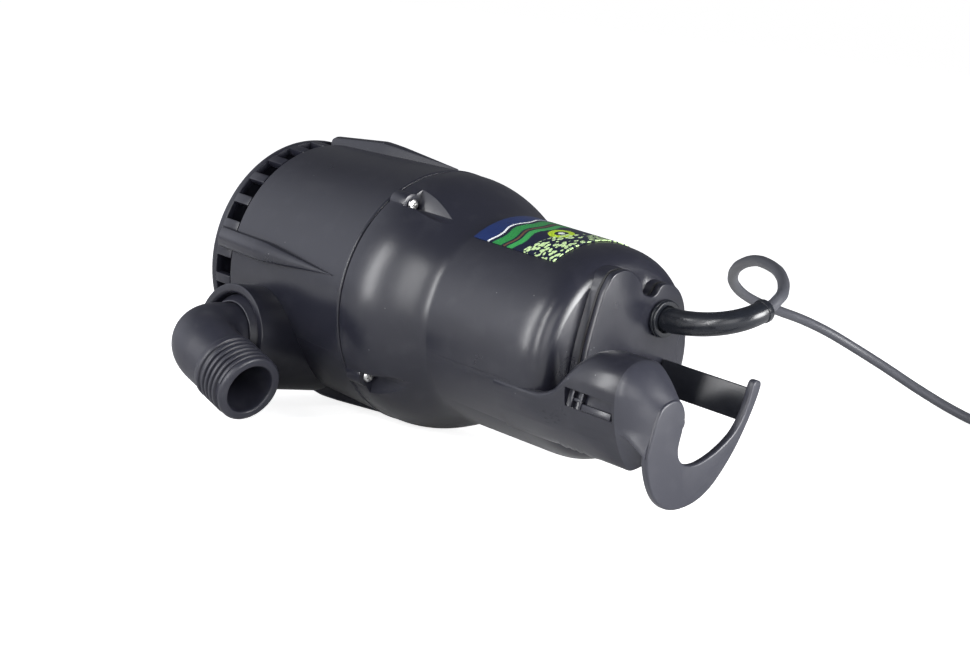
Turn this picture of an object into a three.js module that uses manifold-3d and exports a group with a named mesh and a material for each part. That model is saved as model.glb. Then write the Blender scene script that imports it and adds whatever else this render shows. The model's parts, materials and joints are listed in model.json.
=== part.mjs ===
import * as THREE from "three";
import { ConvexGeometry } from "three/addons/geometries/ConvexGeometry.js";
import { mergeVertices } from "three/addons/utils/BufferGeometryUtils.js";
import Module from "manifold-3d";

// Submersible bilge and drainage pump with a strainer foot, a side outlet with a threaded elbow, a carry
// handle and a rubber mains cord.
// Sizes are millimetres. The pump is drawn about its own axis: x runs along it from the seam between the
// two housings towards the handle, z points to the outlet side, and y completes the frame. At the end the
// finished pump is laid on a floor, where it rests on its dome, its elbow and its handle.

const wasm = await Module();
wasm.setup();

const clearance = 0.3; // between pieces that touch
const overrun = 5; // how far a cut runs past what it cuts
const runningGap = 2 * clearance; // between turning and fixed pieces
const chamfer = 0.7;
const flatness = 0.01; // facets this close to one plane are merged

const fineSides = 36;
const outletSides = 20;
const middleSides = 16;
const coarseSides = 12;
const screwSides = 8;

// Lower housing, the volute casing
const seamRadius = 77;
const casingLength = 112.4;
const casingTaper = 5;
const casingBaseRadius = seamRadius - casingTaper;
const casingWall = 3.2;
const casingFloor = 4;
const suctionEye = 24;
const rimDepth = 18;
const rimTaper = 6;
const ledgeDepth = 12;
const rimWall = 10.6;
const seatBore = seamRadius - rimWall;
const ledgeWidth = 4.4;
const ledgeBore = seatBore - ledgeWidth;

// Strainer foot
const strainerHeight = 18.8;
const strainerStep = 0.5; // the foot stands back from the casing
const strainerRadius = casingBaseRadius - strainerStep;
const strainerWall = 4.5;
const strainerFloor = 3.6;
const slotSill = 4.9;
const slotPositions = 26;
const slotAngle = THREE.MathUtils.degToRad(9);

// Screw towers with their fairings, on the four sides of the casing
const towerScrewEdge = 5.3;
const towerScrewRadius = strainerRadius - towerScrewEdge;
const fairingWidth = 12.3;
const fairingDrop = 10.6;
const fairingStraight = 48.5;
const fairingTip = 11;
const fairingBaseStand = 4.4;
const fairingBaseRadius = casingBaseRadius + fairingBaseStand;
const fairingPeakStand = 5; // where the straight part ends
const fairingPeakRadius = seamRadius + fairingPeakStand;
const fairingTopStand = 0.2;
const fairingTopRadius = seamRadius + fairingTopStand;
const fairingDepth = 15.8;

// Upper housing
const domeStraight = 8;
const domeEnd = 62;
const domeShoulderPull = 26;
const domeFilletPull = 12;
const domeStep = 15;
const motorRadius = seamRadius - domeStep;
const motorLength = 69;
const motorEnd = domeEnd + motorLength;
const motorWall = 3.2;
const shoulderRise = 23;
const shoulderTop = motorEnd + shoulderRise;
const shoulderTopStep = 9.6;
const shoulderTopRadius = motorRadius - shoulderTopStep;
const shoulderMidReach = 15.3;
const shoulderMidStep = 4.2;
const shoulderMidRadius = motorRadius - shoulderMidStep;
const shoulderGroove = 1.2;
const flangeHeight = 4;
const spigotDepth = 2.4;
const spigotWall = 3.9;
const spigotBore = seatBore - spigotWall;

// Corner pockets for the housing screws
const seamScrewEdge = 3.8;
const seamScrewRadius = seamRadius - seamScrewEdge;
const seamScrewSpot = Math.SQRT1_2 * seamScrewRadius;
const pocketEdgeY = 1.76; // from the screw's axis to the pocket's side
const pocketEdgeZ = 5.56;
const pocketY = seamScrewSpot - pocketEdgeY;
const pocketZ = seamScrewSpot - pocketEdgeZ;
const pocketFloor = 13;
const earRadius = 6.4;
const headRecess = 4.9;

// Outlet boss: its axis stands square to the pump's axis, beside it
const bossTurn = THREE.MathUtils.degToRad(95);
const bossStandOut = 13.6; // past the casing's rim
const bossReach = seamRadius + bossStandOut;
const bossRadius = 31.5;
const bossSideStand = 0.7;
const bossOffset = seamRadius + bossSideStand - bossRadius;
const bossFoot = 3.9; // from the casing's underside to the boss
const bossDrop = casingLength - bossRadius - bossFoot;
const socketBore = 26;
const socketDepth = 14;
const outletBore = 18.8;

// Elbow
const elbowSwivel = THREE.MathUtils.degToRad(15.5);
const elbowRise = 29;
const elbowReach = 66.5;
const elbowBend = 24;
const elbowRadius = 19.8;
const elbowBore = 15;
const elbowNeck = 19.2;
const elbowNose = 15.9;
const elbowNoseLength = 13;
const collarRadius = 23.5;
const collarHeight = 4;
const lockRingHeight = 5;
const threadCrest = 20.95;
const threadRoot = 19.3;
const threadPitch = 4;
const threadCount = 5;
const threadShoulder = 2.6;
const threadLead = 3;

// End plate with its cable lobe
const pillarRise = 4.9;
const pillarTop = shoulderTop + pillarRise;
const gasketHeight = 1;
const plateHeight = 4.5;
const plateEdge = 2.4; // from the shoulder's top edge to the outline's unit circle
const plateUnit = shoulderTopRadius - plateEdge;
const pillarWall = 3;
const glandShares = [0.57, -0.28];
const glandY = plateUnit * glandShares[0];
const glandZ = plateUnit * glandShares[1];
const glandBore = 8.5;
const glandRingRadius = 11;
const glandRingHeight = 3.6;

// Tower beside the end plate, which carries the handle
const towerStand = 1; // past the motor's radius
const towerRadius = motorRadius + towerStand;
const towerDepth = 27;
const towerInner = towerRadius - towerDepth;
const towerLowEdge = 11;
const towerLow = towerLowEdge - towerRadius;
const towerHigh = 9.5;
const towerHeight = 59.6;
const towerEnd = shoulderTop + towerHeight;
const towerSunk = 13; // how far the tower starts below the motor's end
const towerRoot = motorEnd - towerSunk;
const towerWall = 2.4;
const recessRise = 22; // from the shoulder's top to the recess
const recessEdge = 1.6; // from the recess to the tower's end
const recessStart = shoulderTop + recessRise;
const recessLength = towerEnd - recessEdge - recessStart;
const recessWidth = 10;
const recessMiddle = -22;
const recessDepth = 3.2;

// Handle
const capHeight = 21.4;
const handleTop = towerEnd + capHeight;
const handleThickness = 4.8;
const gripEdge = 3; // from the tower's radius to the grip outline's unit circle
const handleUnit = towerRadius - gripEdge;
const strapLowShare = -0.2117;
const strapHighShare = 0.1;
const strapZShare = -0.3833;
const strapLow = handleUnit * strapLowShare;
const strapHigh = handleUnit * strapHighShare;
const strapZ = handleUnit * strapZShare;
const strapThickness = 3.6;

// Motor
const statorGap = 8.8; // oil space between the stator and the housing
const statorRadius = motorRadius - motorWall - statorGap;
const statorStart = 20;
const statorLength = 60;
const skirtShare = 0.84;
const skirtInner = statorRadius * skirtShare;
const windingGap = 2;
const windingOuter = skirtInner - windingGap;
const rotorShare = 0.552;
const rotorRadius = statorRadius * rotorShare;
const airGap = 0.8;
const statorBore = rotorRadius + airGap;
const statorTooth = 1.6;
const windingInner = statorBore + statorTooth;
const windingHeight = 14;
const boltCircle = (statorRadius + skirtInner) / 2;
const boltRadius = 2.4;
const boltHeadRadius = 3.9;
const boltHeadHeight = 3.4;
const bracketPlate = 5.7;
const hubWall = 4;
const bearingHeight = 11;
const lowerBearingRadius = 17.5;
const upperBearingRadius = 15;
const upperBracketHeight = 25;
const upperBracketPlate = 4;
const leadHoleRadius = 5;

// Shaft, impeller and seal
const shaftThread = 4.7;
const shaftSeal = 6;
const shaftBearing = 7.7;
const shaftCore = 8.2;
const shaftTopRadius = 6.7;
const voluteWidth = 28; // round the impeller
const impellerRadius = casingBaseRadius - voluteWidth;
const impellerPlate = 3;
const impellerDepth = 20;
const impellerRun = 2.8; // between the impeller and the suction plate
const impellerHub = 10;
const vaneCount = 5;
const vaneThickness = 3;
const vaneSweep = THREE.MathUtils.degToRad(75);
const nutRadius = 8;
const nutHeight = 5;
const nutSides = 6;
const suctionPlateEdge = 12;
const suctionPlateRadius = casingBaseRadius - suctionPlateEdge;
const suctionPlateHeight = 1;
const impellerBack = casingLength - casingFloor - suctionPlateHeight - impellerRun - impellerDepth
  - impellerPlate - 2 * clearance;
const shaftStub = 1.2; // past the impeller's nut
const shaftLow = impellerBack + clearance + impellerPlate + impellerDepth + shaftStub;
const shaftTop = 2.7; // past the upper bracket
const shaftHigh = statorStart + statorLength + clearance + upperBracketHeight + shaftTop;
const sealLength = 23;
const sealPlateDrop = impellerBack - sealLength;
const sealPlateHeight = 4;
const sealBellEdge = 22;
const sealBell = ledgeBore - sealBellEdge;
const sealBellWall = 3.5;
const sealSeatRadius = 12.6;
const sealRotorRadius = 11.5;

// Small pieces
const screwHead = 3.45;
const screwHeadHeight = 2.4;
const screwShank = 1.9;
const seamScrewLength = 24;
const baseScrewLength = 19;
const crossSlot = 1;
const crossDepth = 1.3;
const capacitorRadius = 7;
const capacitorRise = 30.6; // from the shoulder's top to the capacitor
const capacitorLength = towerHeight - capacitorRise;
const capacitorSeat = 3; // above the tower's inner wall
const capacitorZ = towerInner + towerWall + capacitorSeat + capacitorRadius;
const blockLength = 26;
const blockWidth = 18;
const blockHeight = 11;
const labelThickness = 0.5;
const labelEdge = 3;
const labelLength = motorLength - labelEdge;
const labelStart = THREE.MathUtils.degToRad(-38);
const labelEnd = THREE.MathUtils.degToRad(45);
const clipBar = 3.4;
const clipReach = 2.4;

// Strain relief: it leaves the end plate square and is bent by the cord
const reliefStart = 7.4;
const reliefEnd = 6.3;
const reliefPull = 24;
const reliefTip = new THREE.Vector3(47.4, 19.7, -26.9);
const reliefTipShares = new THREE.Vector3(-0.105, 0.483, -0.869);

// Cord, its coil and the plug
const cordDiameter = 7;
const cordSides = 8;
const cordSteps = 44;
const tailSteps = 10;
const coilLayers = 4;
const coilLoops = 4;
const coilMiddleRadius = 42.5;
const coilRadialPitch = 8.2;
const coilLayerPitch = 9;
const coilSteps = 24;
const coilSides = 6;
const coilPlace = new THREE.Vector3(78, 553.9, 0);
const tieThickness = 1.2;
const tieWidth = 7;
const tieAngle = THREE.MathUtils.degToRad(60);
const plugPlace = 64;
const plugRadius = 18;
const plugLength = 36;
const plugNeck = 6.5;
const plugNeckLength = 22;
const plugLip = 1;
const pinRadius = 2.4;
const pinLength = 19;
const pinSpacing = 19;

const materials = {
  housing: new THREE.MeshStandardMaterial({ color: 0x1b1c1e, roughness: 0.55, metalness: 0 }),
  rubber: new THREE.MeshStandardMaterial({ color: 0x17181a, roughness: 0.4, metalness: 0 }),
  steel: new THREE.MeshStandardMaterial({ color: 0xb9bcc0, roughness: 0.3, metalness: 1 }),
  castAluminium: new THREE.MeshStandardMaterial({ color: 0x9a9da0, roughness: 0.5, metalness: 1 }),
  copper: new THREE.MeshStandardMaterial({ color: 0xa65a2c, roughness: 0.45, metalness: 0.8 }),
  ceramic: new THREE.MeshStandardMaterial({ color: 0xd9d4c8, roughness: 0.3, metalness: 0 }),
  pale: new THREE.MeshStandardMaterial({ color: 0xc9ccc8, roughness: 0.5, metalness: 0 }),
  label: new THREE.MeshStandardMaterial({ color: 0x1f5d3a, roughness: 0.35, metalness: 0 }),
};

// Solids

function solidOf(geometry) {
  const bare = geometry.clone();
  bare.deleteAttribute("normal");
  bare.deleteAttribute("uv");
  const merged = mergeVertices(bare, 1e-4);
  return new wasm.Manifold(new wasm.Mesh({
    numProp: 3,
    vertProperties: new Float32Array(merged.attributes.position.array),
    triVerts: new Uint32Array(merged.index.array),
  }));
}

function geometryOf(solid) {
  const mesh = solid.getMesh();
  const geometry = new THREE.BufferGeometry();
  geometry.setAttribute("position", new THREE.BufferAttribute(new Float32Array(mesh.vertProperties), 3));
  geometry.setIndex(new THREE.BufferAttribute(new Uint32Array(mesh.triVerts), 1));
  return geometry;
}

function combine(first, others, operation) {
  let solid = solidOf(first);
  for (const other of others) solid = solid[operation](solidOf(other));
  return geometryOf(solid);
}

const join = (first, ...others) => combine(first, others, "add");
const cut = (first, ...others) => combine(first, others, "subtract");
const common = (first, ...others) => combine(first, others, "intersect");

function facingOut(geometry) {
  const position = geometry.attributes.position;
  const index = geometry.index.array;
  const corners = [new THREE.Vector3(), new THREE.Vector3(), new THREE.Vector3()];
  let volume = 0;
  for (let i = 0; i < index.length; i += 3) {
    corners.forEach((corner, k) => corner.fromBufferAttribute(position, index[i + k]));
    volume += corners[0].dot(corners[1].cross(corners[2]));
  }
  if (volume < 0) {
    for (let i = 0; i < index.length; i += 3) [index[i], index[i + 1]] = [index[i + 1], index[i]];
  }
  return geometry;
}

// A solid of revolution about x from a list of [x, radius]; a profile off the axis is closed on itself.
function turned(profile, sides = middleSides) {
  const loop = profile.map(([x, radius]) => new THREE.Vector2(radius, x));
  const closed = loop[0].x === 0 && loop[loop.length - 1].x === 0;
  if (!closed) loop.push(loop[0].clone());
  return facingOut(new THREE.LatheGeometry(loop, sides).rotateZ(-Math.PI / 2));
}

const rod = (start, end, radius, sides) => turned([[start, 0], [start, radius], [end, radius], [end, 0]], sides);

function tube(start, end, inner, outer, sides) {
  return turned([[start, inner], [start, outer], [end, outer], [end, inner]], sides);
}

function block(low, high) {
  const size = high.map((value, k) => value - low[k]);
  const middle = high.map((value, k) => (value + low[k]) / 2);
  return new THREE.BoxGeometry(...size).translate(...middle);
}

// A prism along x whose outline is given in y and z.
function prism(outline, start, end, options = {}) {
  const shape = new THREE.Shape(outline.map(([y, z]) => new THREE.Vector2(y, z)));
  const geometry = new THREE.ExtrudeGeometry(shape, { depth: end - start, bevelEnabled: false, ...options });
  const basis = new THREE.Matrix4().makeBasis(
    new THREE.Vector3(0, 1, 0), new THREE.Vector3(0, 0, 1), new THREE.Vector3(1, 0, 0));
  return indexed(geometry.applyMatrix4(basis.setPosition(start, 0, 0)));
}

function indexed(geometry) {
  geometry.deleteAttribute("normal");
  geometry.deleteAttribute("uv");
  return facingOut(mergeVertices(geometry, 1e-4));
}

const aboutAxis = (geometry, angle) => geometry.clone().rotateX(angle);
const shifted = (geometry, x, y, z) => geometry.clone().translate(x, y, z);

// Carries a solid drawn about x to a line that starts at origin and runs along direction.
function along(geometry, origin, direction, side) {
  const third = new THREE.Vector3().crossVectors(direction, side).normalize();
  const second = new THREE.Vector3().crossVectors(third, direction);
  const place = new THREE.Matrix4().makeBasis(direction, second, third).setPosition(origin);
  return geometry.clone().applyMatrix4(place);
}

// A round bar of changing radius along a curve, closed at both ends.
function swept(curve, steps, sides, radiusAt) {
  const frames = curve.computeFrenetFrames(steps, false);
  const points = [];
  const index = [];
  for (let i = 0; i <= steps; i += 1) {
    const centre = curve.getPointAt(i / steps);
    for (let k = 0; k < sides; k += 1) {
      const angle = (2 * Math.PI * k) / sides;
      const radius = radiusAt(i / steps);
      points.push(centre.clone()
        .addScaledVector(frames.normals[i], radius * Math.cos(angle))
        .addScaledVector(frames.binormals[i], radius * Math.sin(angle)));
    }
  }
  const first = points.push(curve.getPointAt(0)) - 1;
  const last = points.push(curve.getPointAt(1)) - 1;
  for (let k = 0; k < sides; k += 1) {
    const next = (k + 1) % sides;
    for (let i = 0; i < steps; i += 1) {
      const a = i * sides;
      const b = a + sides;
      index.push(a + k, b + next, a + next, a + k, b + k, b + next);
    }
    index.push(first, k, next, last, steps * sides + next, steps * sides + k);
  }
  const geometry = new THREE.BufferGeometry().setFromPoints(points);
  geometry.setIndex(index);
  return facingOut(geometry);
}

function circlePoints(radius, sides) {
  return Array.from({ length: sides }, (_, k) => {
    const angle = (2 * Math.PI * (k + 0.5)) / sides;
    return new THREE.Vector2(radius * Math.cos(angle), radius * Math.sin(angle));
  });
}

// The pieces, gathered by name

const pump = new THREE.Group();
const loose = new THREE.Group();

function piece(name, material, geometry, group = pump) {
  const mesh = new THREE.Mesh(geometryOf(solidOf(geometry).simplify(flatness)), material);
  mesh.name = name;
  group.add(mesh);
  return mesh;
}

const quarterTurns = [0, 1, 2, 3].map((k) => (k * Math.PI) / 2);

// Lower housing

const casingRadiusAt = (x) => seamRadius + ((seamRadius - casingBaseRadius) * x) / casingLength;
const strainerTop = -casingLength;
const strainerBottom = -casingLength - strainerHeight;
const floorTop = -casingLength + casingFloor;

function fairing() {
  const low = -casingLength - fairingDrop;
  const straight = low + fairingStraight;
  const half = fairingWidth / 2;
  const shape = new THREE.Shape([
    new THREE.Vector2(low, -half), new THREE.Vector2(straight, -half), new THREE.Vector2(-fairingTip, 0),
    new THREE.Vector2(straight, half), new THREE.Vector2(low, half),
  ]);
  const rise = fairingPeakRadius - fairingBaseRadius + overrun;
  const bar = new THREE.ExtrudeGeometry(shape, { depth: fairingDepth + rise, bevelEnabled: false });
  const standing = indexed(bar.rotateX(-Math.PI / 2).translate(0, fairingBaseRadius - fairingDepth, 0));
  const envelope = turned([
    [low, 0], [low, fairingBaseRadius], [straight, fairingPeakRadius],
    [-fairingTip, fairingTopRadius], [-fairingTip, 0],
  ], fineSides);
  return common(standing, envelope);
}

const bossAxis = new THREE.Vector3(0, Math.cos(bossTurn), Math.sin(bossTurn));
const bossSide = new THREE.Vector3(0, -Math.sin(bossTurn), Math.cos(bossTurn));
const bossOrigin = new THREE.Vector3(-bossDrop, 0, 0).addScaledVector(bossSide, bossOffset);
const onBoss = (geometry) => along(geometry, bossOrigin, bossAxis, new THREE.Vector3(1, 0, 0));

function seamScrewPlaces(geometry) {
  const corner = shifted(geometry, 0, seamScrewSpot, seamScrewSpot);
  return quarterTurns.map((angle) => aboutAxis(corner, angle));
}

function voluteCasing() {
  const wallAt = (x) => casingRadiusAt(x) - casingWall;
  const shell = turned([
    [-casingLength, suctionEye], [-casingLength, casingBaseRadius - chamfer],
    [-casingLength + chamfer, casingBaseRadius], [-chamfer, casingRadiusAt(-chamfer)],
    [0, seamRadius - chamfer], [0, seatBore], [-ledgeDepth, seatBore], [-ledgeDepth, ledgeBore],
    [-rimDepth, ledgeBore], [-rimDepth - rimTaper, wallAt(-rimDepth - rimTaper)],
    [floorTop, wallAt(floorTop)], [floorTop, suctionEye],
  ], fineSides);
  const chamber = turned([
    [floorTop, 0], [floorTop, wallAt(floorTop)],
    [-rimDepth - rimTaper, wallAt(-rimDepth - rimTaper)], [-rimDepth - rimTaper, 0],
  ], fineSides);
  const boss = onBoss(rod(bossReach / 4, bossReach, bossRadius, fineSides - coarseSides));
  const body = join(shell, ...quarterTurns.map((angle) => aboutAxis(fairing(), angle)), boss);
  const seat = rod(-ledgeDepth, overrun, seatBore, fineSides);
  const screwBores = seamScrewPlaces(rod(pocketFloor - seamScrewLength - clearance, overrun,
    screwShank + clearance, screwSides));
  const towerBores = quarterTurns.map((angle) => aboutAxis(shifted(rod(
    strainerBottom - overrun, strainerBottom + screwHeadHeight + baseScrewLength + clearance,
    screwShank + clearance, screwSides), 0, towerScrewRadius, 0), angle));
  const bore = onBoss(rod(bossReach / 4, bossReach + overrun, outletBore, outletSides));
  const socket = onBoss(rod(bossReach - socketDepth, bossReach + overrun, socketBore, outletSides));
  return cut(body, chamber, seat, bore, socket, ...screwBores, ...towerBores);
}

piece("volute_casing", materials.housing, voluteCasing());

function strainerBase() {
  const top = strainerTop - clearance;
  const floor = strainerBottom + strainerFloor;
  const inner = strainerRadius - strainerWall;
  const cup = turned([
    [strainerBottom, 0], [strainerBottom, strainerRadius - chamfer],
    [strainerBottom + chamfer, strainerRadius], [top, strainerRadius], [top, inner], [floor, inner], [floor, 0],
  ], fineSides);
  const towerFoot = -casingLength - fairingDrop - clearance;
  const half = fairingWidth / 2 + clearance;
  const post = shifted(rod(strainerBottom + chamfer, towerFoot, half - clearance, coarseSides),
    0, towerScrewRadius - clearance, 0);
  const trimmed = common(post, rod(strainerBottom, top, strainerRadius, fineSides));
  const notch = block([towerFoot, fairingBaseRadius - fairingDepth - clearance, -half],
    [top + overrun, seamRadius, half]);
  const headBore = shifted(rod(strainerBottom - overrun, strainerBottom + screwHeadHeight + clearance,
    screwHead + clearance, screwSides), 0, towerScrewRadius, 0);
  const shankBore = shifted(rod(strainerBottom, towerFoot + overrun, screwShank + clearance, screwSides),
    0, towerScrewRadius, 0);
  const slotWidth = 2 * strainerRadius * Math.tan(slotAngle / 2);
  const slot = block([strainerBottom + slotSill, inner - overrun, -slotWidth / 2],
    [top + overrun, strainerRadius + overrun, slotWidth / 2]);
  const slots = Array.from({ length: slotPositions }, (_, k) => Math.PI / 2 + (2 * Math.PI * k) / slotPositions)
    .filter((angle) => quarterTurns.every((turn) => Math.abs(Math.sin(angle - turn)) > slotAngle / 8
      || Math.cos(angle - turn) < 0))
    .map((angle) => aboutAxis(slot, angle));
  const atTowers = (geometry) => quarterTurns.map((angle) => aboutAxis(geometry, angle));
  const body = join(cut(cup, ...slots), ...atTowers(trimmed));
  return cut(body, ...atTowers(notch), ...atTowers(headBore), ...atTowers(shankBore));
}

piece("strainer_base", materials.housing, strainerBase());

// Screws

function screw(length) {
  const body = turned([
    [-length, 0], [-length, screwShank], [0, screwShank], [0, screwHead], [screwHeadHeight / 2, screwHead],
    [screwHeadHeight, screwHead * Math.SQRT1_2], [screwHeadHeight, 0],
  ], screwSides);
  const arm = (a, b) => block([screwHeadHeight - crossDepth, -a, -b], [screwHeadHeight + overrun, a, b]);
  return cut(body, arm(crossSlot / 2, crossSlot * 2), arm(crossSlot * 2, crossSlot / 2));
}

quarterTurns.forEach((angle, k) => {
  const lifted = screw(baseScrewLength).rotateZ(Math.PI)
    .translate(strainerBottom + screwHeadHeight, towerScrewRadius, 0);
  piece(`base_screw_${k + 1}`, materials.steel, aboutAxis(lifted, angle));
});

seamScrewPlaces(screw(seamScrewLength).translate(pocketFloor + clearance, 0, 0)).forEach((geometry, k) => {
  piece(`housing_screw_${k + 1}`, materials.steel, geometry);
});

// Upper housing with the tower

const plateOutlineShares = [
  [0.06, 0.762], [0.63, 0.752], [0.8, 0.72], [0.922, 0.668], [0.988, 0.562], [1.012, 0.44], [0.974, 0.308],
  [0.9, 0.194], [0.796, 0.12], [0.782, -0.022], [0.826, -0.09], [0.924, -0.136], [0.964, -0.258],
  [0.928, -0.41], [0.83, -0.536], [0.702, -0.622], [0.532, -0.674], [0.412, -0.652], [0.25, -0.66],
  [0, -0.78], [-0.34, -0.78], [-0.64, -0.62], [-0.84, -0.34], [-0.88, 0], [-0.8, 0.34], [-0.6, 0.62],
  [-0.4, 0.7],
];
const plateOutline = plateOutlineShares.map(([y, z]) => [y * plateUnit, z * plateUnit]);
const plateInner = plateOutlineShares.map(([y, z]) => {
  const share = 1 - pillarWall / plateUnit;
  return [y * plateUnit * share, z * plateUnit * share];
});

function domeCurve(offset) {
  const curve = new THREE.CubicBezierCurve(
    new THREE.Vector2(domeStraight, seamRadius - offset),
    new THREE.Vector2(domeStraight + domeShoulderPull, seamRadius - offset),
    new THREE.Vector2(domeEnd - domeFilletPull, motorRadius - offset),
    new THREE.Vector2(domeEnd, motorRadius - offset));
  return curve.getPoints(6).map((point) => [point.x, point.y]);
}

function shoulderCurve(offset) {
  const middle = motorEnd + shoulderMidReach;
  const curve = new THREE.QuadraticBezierCurve(
    new THREE.Vector2(motorEnd, motorRadius - offset),
    new THREE.Vector2(motorEnd + shoulderMidReach / 2, motorRadius - offset),
    new THREE.Vector2(middle, shoulderMidRadius - offset));
  return curve.getPoints(3).map((point) => [point.x, point.y]);
}

// The tower's upright outline in x and y: its upper edge sweeps up from the motor's shoulder.
function towerShape(inset) {
  const rise = towerHigh - towerLow;
  const reach = towerEnd - shoulderTop;
  const edgeShares = [[-0.07, 0.44], [0.07, 0.47], [0.2, 0.55], [0.31, 0.7], [0.41, 0.85], [0.52, 0.96], [0.64, 1]];
  const upper = edgeShares.map(([x, y]) => [shoulderTop + x * reach, towerLow + y * rise - inset]);
  return [
    [towerRoot, towerLow + inset], [towerRoot, upper[0][1]], ...upper,
    [towerEnd, towerHigh - inset], [towerEnd, towerLow + inset],
  ];
}

function towerBody(inset, start, end) {
  const shape = new THREE.Shape(towerShape(inset).map(([x, y]) => new THREE.Vector2(x, y)));
  const slab = indexed(new THREE.ExtrudeGeometry(shape, { depth: seamRadius, bevelEnabled: false })
    .translate(0, 0, towerInner + inset));
  return common(slab, rod(start, end, towerRadius - inset, fineSides));
}

function motorHousing() {
  const groove = shoulderGroove;
  const middle = motorEnd + shoulderMidReach;
  const outer = turned([
    [clearance, 0], [clearance, seamRadius - chamfer], [clearance + chamfer, seamRadius],
    ...domeCurve(0), ...shoulderCurve(0),
    [middle + groove / 2, shoulderMidRadius - groove], [middle + groove, shoulderMidRadius - groove / 2],
    [shoulderTop, shoulderTopRadius], [shoulderTop, 0],
  ], fineSides);
  const pocket = block([pocketFloor, pocketY, pocketZ], [domeEnd, seamRadius, seamRadius]);
  const pockets = [[1, 1], [-1, 1], [-1, -1], [1, -1]].map(([sy, sz]) => {
    const mirrored = pocket.clone().scale(1, sy, sz);
    return indexed(mirrored);
  });
  const ears = seamScrewPlaces(rod(clearance, pocketFloor, earRadius, coarseSides));
  const headRecesses = seamScrewPlaces(rod(pocketFloor, domeEnd, headRecess, coarseSides));
  const pillar = prism(plateOutline, shoulderTop - shoulderMidReach, pillarTop);
  const solidPart = join(cut(outer, ...pockets), ...ears, pillar, towerBody(0, towerRoot, towerEnd));

  const hollow = turned([
    [flangeHeight, 0], [flangeHeight, seamRadius - motorWall], ...domeCurve(motorWall),
    ...shoulderCurve(motorWall), [shoulderTop - motorWall, shoulderTopRadius - motorWall],
    [shoulderTop - motorWall, 0],
  ], middleSides);
  const wallStart = seamScrewSpot - headRecess - motorWall;
  const keep = block([0, wallStart, Math.min(wallStart, pocketZ - motorWall)],
    [domeEnd, seamRadius + overrun, seamRadius + overrun]);
  const keeps = [[1, 1], [-1, 1], [-1, -1], [1, -1]].map(([sy, sz]) => indexed(keep.clone().scale(1, sy, sz)));
  const mouth = rod(-spigotDepth - overrun, flangeHeight + overrun, spigotBore, fineSides);
  const spigot = tube(-spigotDepth, flangeHeight, spigotBore, seatBore - clearance, fineSides);
  const wiring = prism(plateInner, shoulderTop - 2 * motorWall, pillarTop + overrun);
  const wiringFloorKeep = block([shoulderTop - 3 * motorWall, -seamRadius, towerInner - clearance],
    [pillarTop + 2 * overrun, seamRadius, seamRadius]);
  const screwBores = seamScrewPlaces(rod(-overrun, pocketFloor + overrun, screwShank + clearance, screwSides));
  const recess = block([recessStart, recessMiddle - recessWidth / 2, recessFloor],
    [recessStart + recessLength, recessMiddle + recessWidth / 2, seamRadius]);
  const recessBack = block([recessStart - towerWall, recessMiddle - recessWidth / 2 - towerWall,
    recessFloor - towerWall], [towerEnd + overrun, recessMiddle + recessWidth / 2 + towerWall, seamRadius]);
  const towerHollow = cut(towerBody(towerWall, towerRoot, towerEnd + overrun), recessBack);
  return cut(join(solidPart, spigot), cut(hollow, ...keeps), mouth, cut(wiring, wiringFloorKeep),
    towerHollow, recess, ...screwBores, ...headRecesses);
}

const recessFloor = Math.sqrt(towerRadius ** 2 - recessMiddle ** 2) - recessDepth;
piece("motor_housing", materials.housing, motorHousing());

function floatCordClip() {
  const length = recessLength - 2 * clearance;
  const low = recessFloor + clearance;
  const half = clipBar / 2;
  const base = block([recessStart + clearance, recessMiddle - half, low],
    [recessStart + clearance + length, recessMiddle + half, low + clipReach / 2]);
  const jawStarts = [0, (length - 2 * clipBar) / 2, length - 2 * clipBar];
  const reach = recessWidth / 2 - clearance;
  const jaws = jawStarts.map((start) => block(
    [recessStart + clearance + start, recessMiddle - reach, low],
    [recessStart + clearance + start + 2 * clipBar, recessMiddle + reach, low + clipReach]));
  return join(base, ...jaws);
}

piece("float_cord_clip", materials.housing, floatCordClip());

// Seam ring

piece("housing_o_ring", materials.rubber, tube(-ledgeDepth + bracketPlate + 2 * clearance,
  -spigotDepth - clearance, spigotBore, seatBore - clearance, fineSides));

// Gasket, end plate and gland

const glandHole = (start, end) => shifted(rod(start, end, glandBore, coarseSides), 0, glandY, glandZ);
const gasketLow = pillarTop + clearance;
const plateLow = gasketLow + gasketHeight + clearance;
const plateTop = plateLow + plateHeight;

piece("end_plate_gasket", materials.rubber, cut(
  prism(plateOutline, gasketLow, gasketLow + gasketHeight),
  prism(plateInner, gasketLow - overrun, gasketLow + gasketHeight + overrun)));
piece("end_plate", materials.housing, cut(
  prism(plateOutline, plateLow, plateTop), glandHole(plateLow - overrun, plateTop + overrun)));

const sealLow = plateLow - 2 * plateHeight;
piece("gland_seal", materials.rubber, shifted(turned([
  [sealLow, 0], [sealLow, glandBore + clearance * 4], [plateLow - clearance, glandBore + clearance * 4],
  [plateLow - clearance, glandBore - clearance], [plateTop, glandBore - clearance], [plateTop, 0],
], coarseSides), 0, glandY, glandZ));

const reliefLow = plateTop + clearance;
piece("gland_ring", materials.housing, shifted(tube(reliefLow, reliefLow + glandRingHeight,
  reliefStart + clearance, glandRingRadius, coarseSides), 0, glandY, glandZ));

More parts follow.
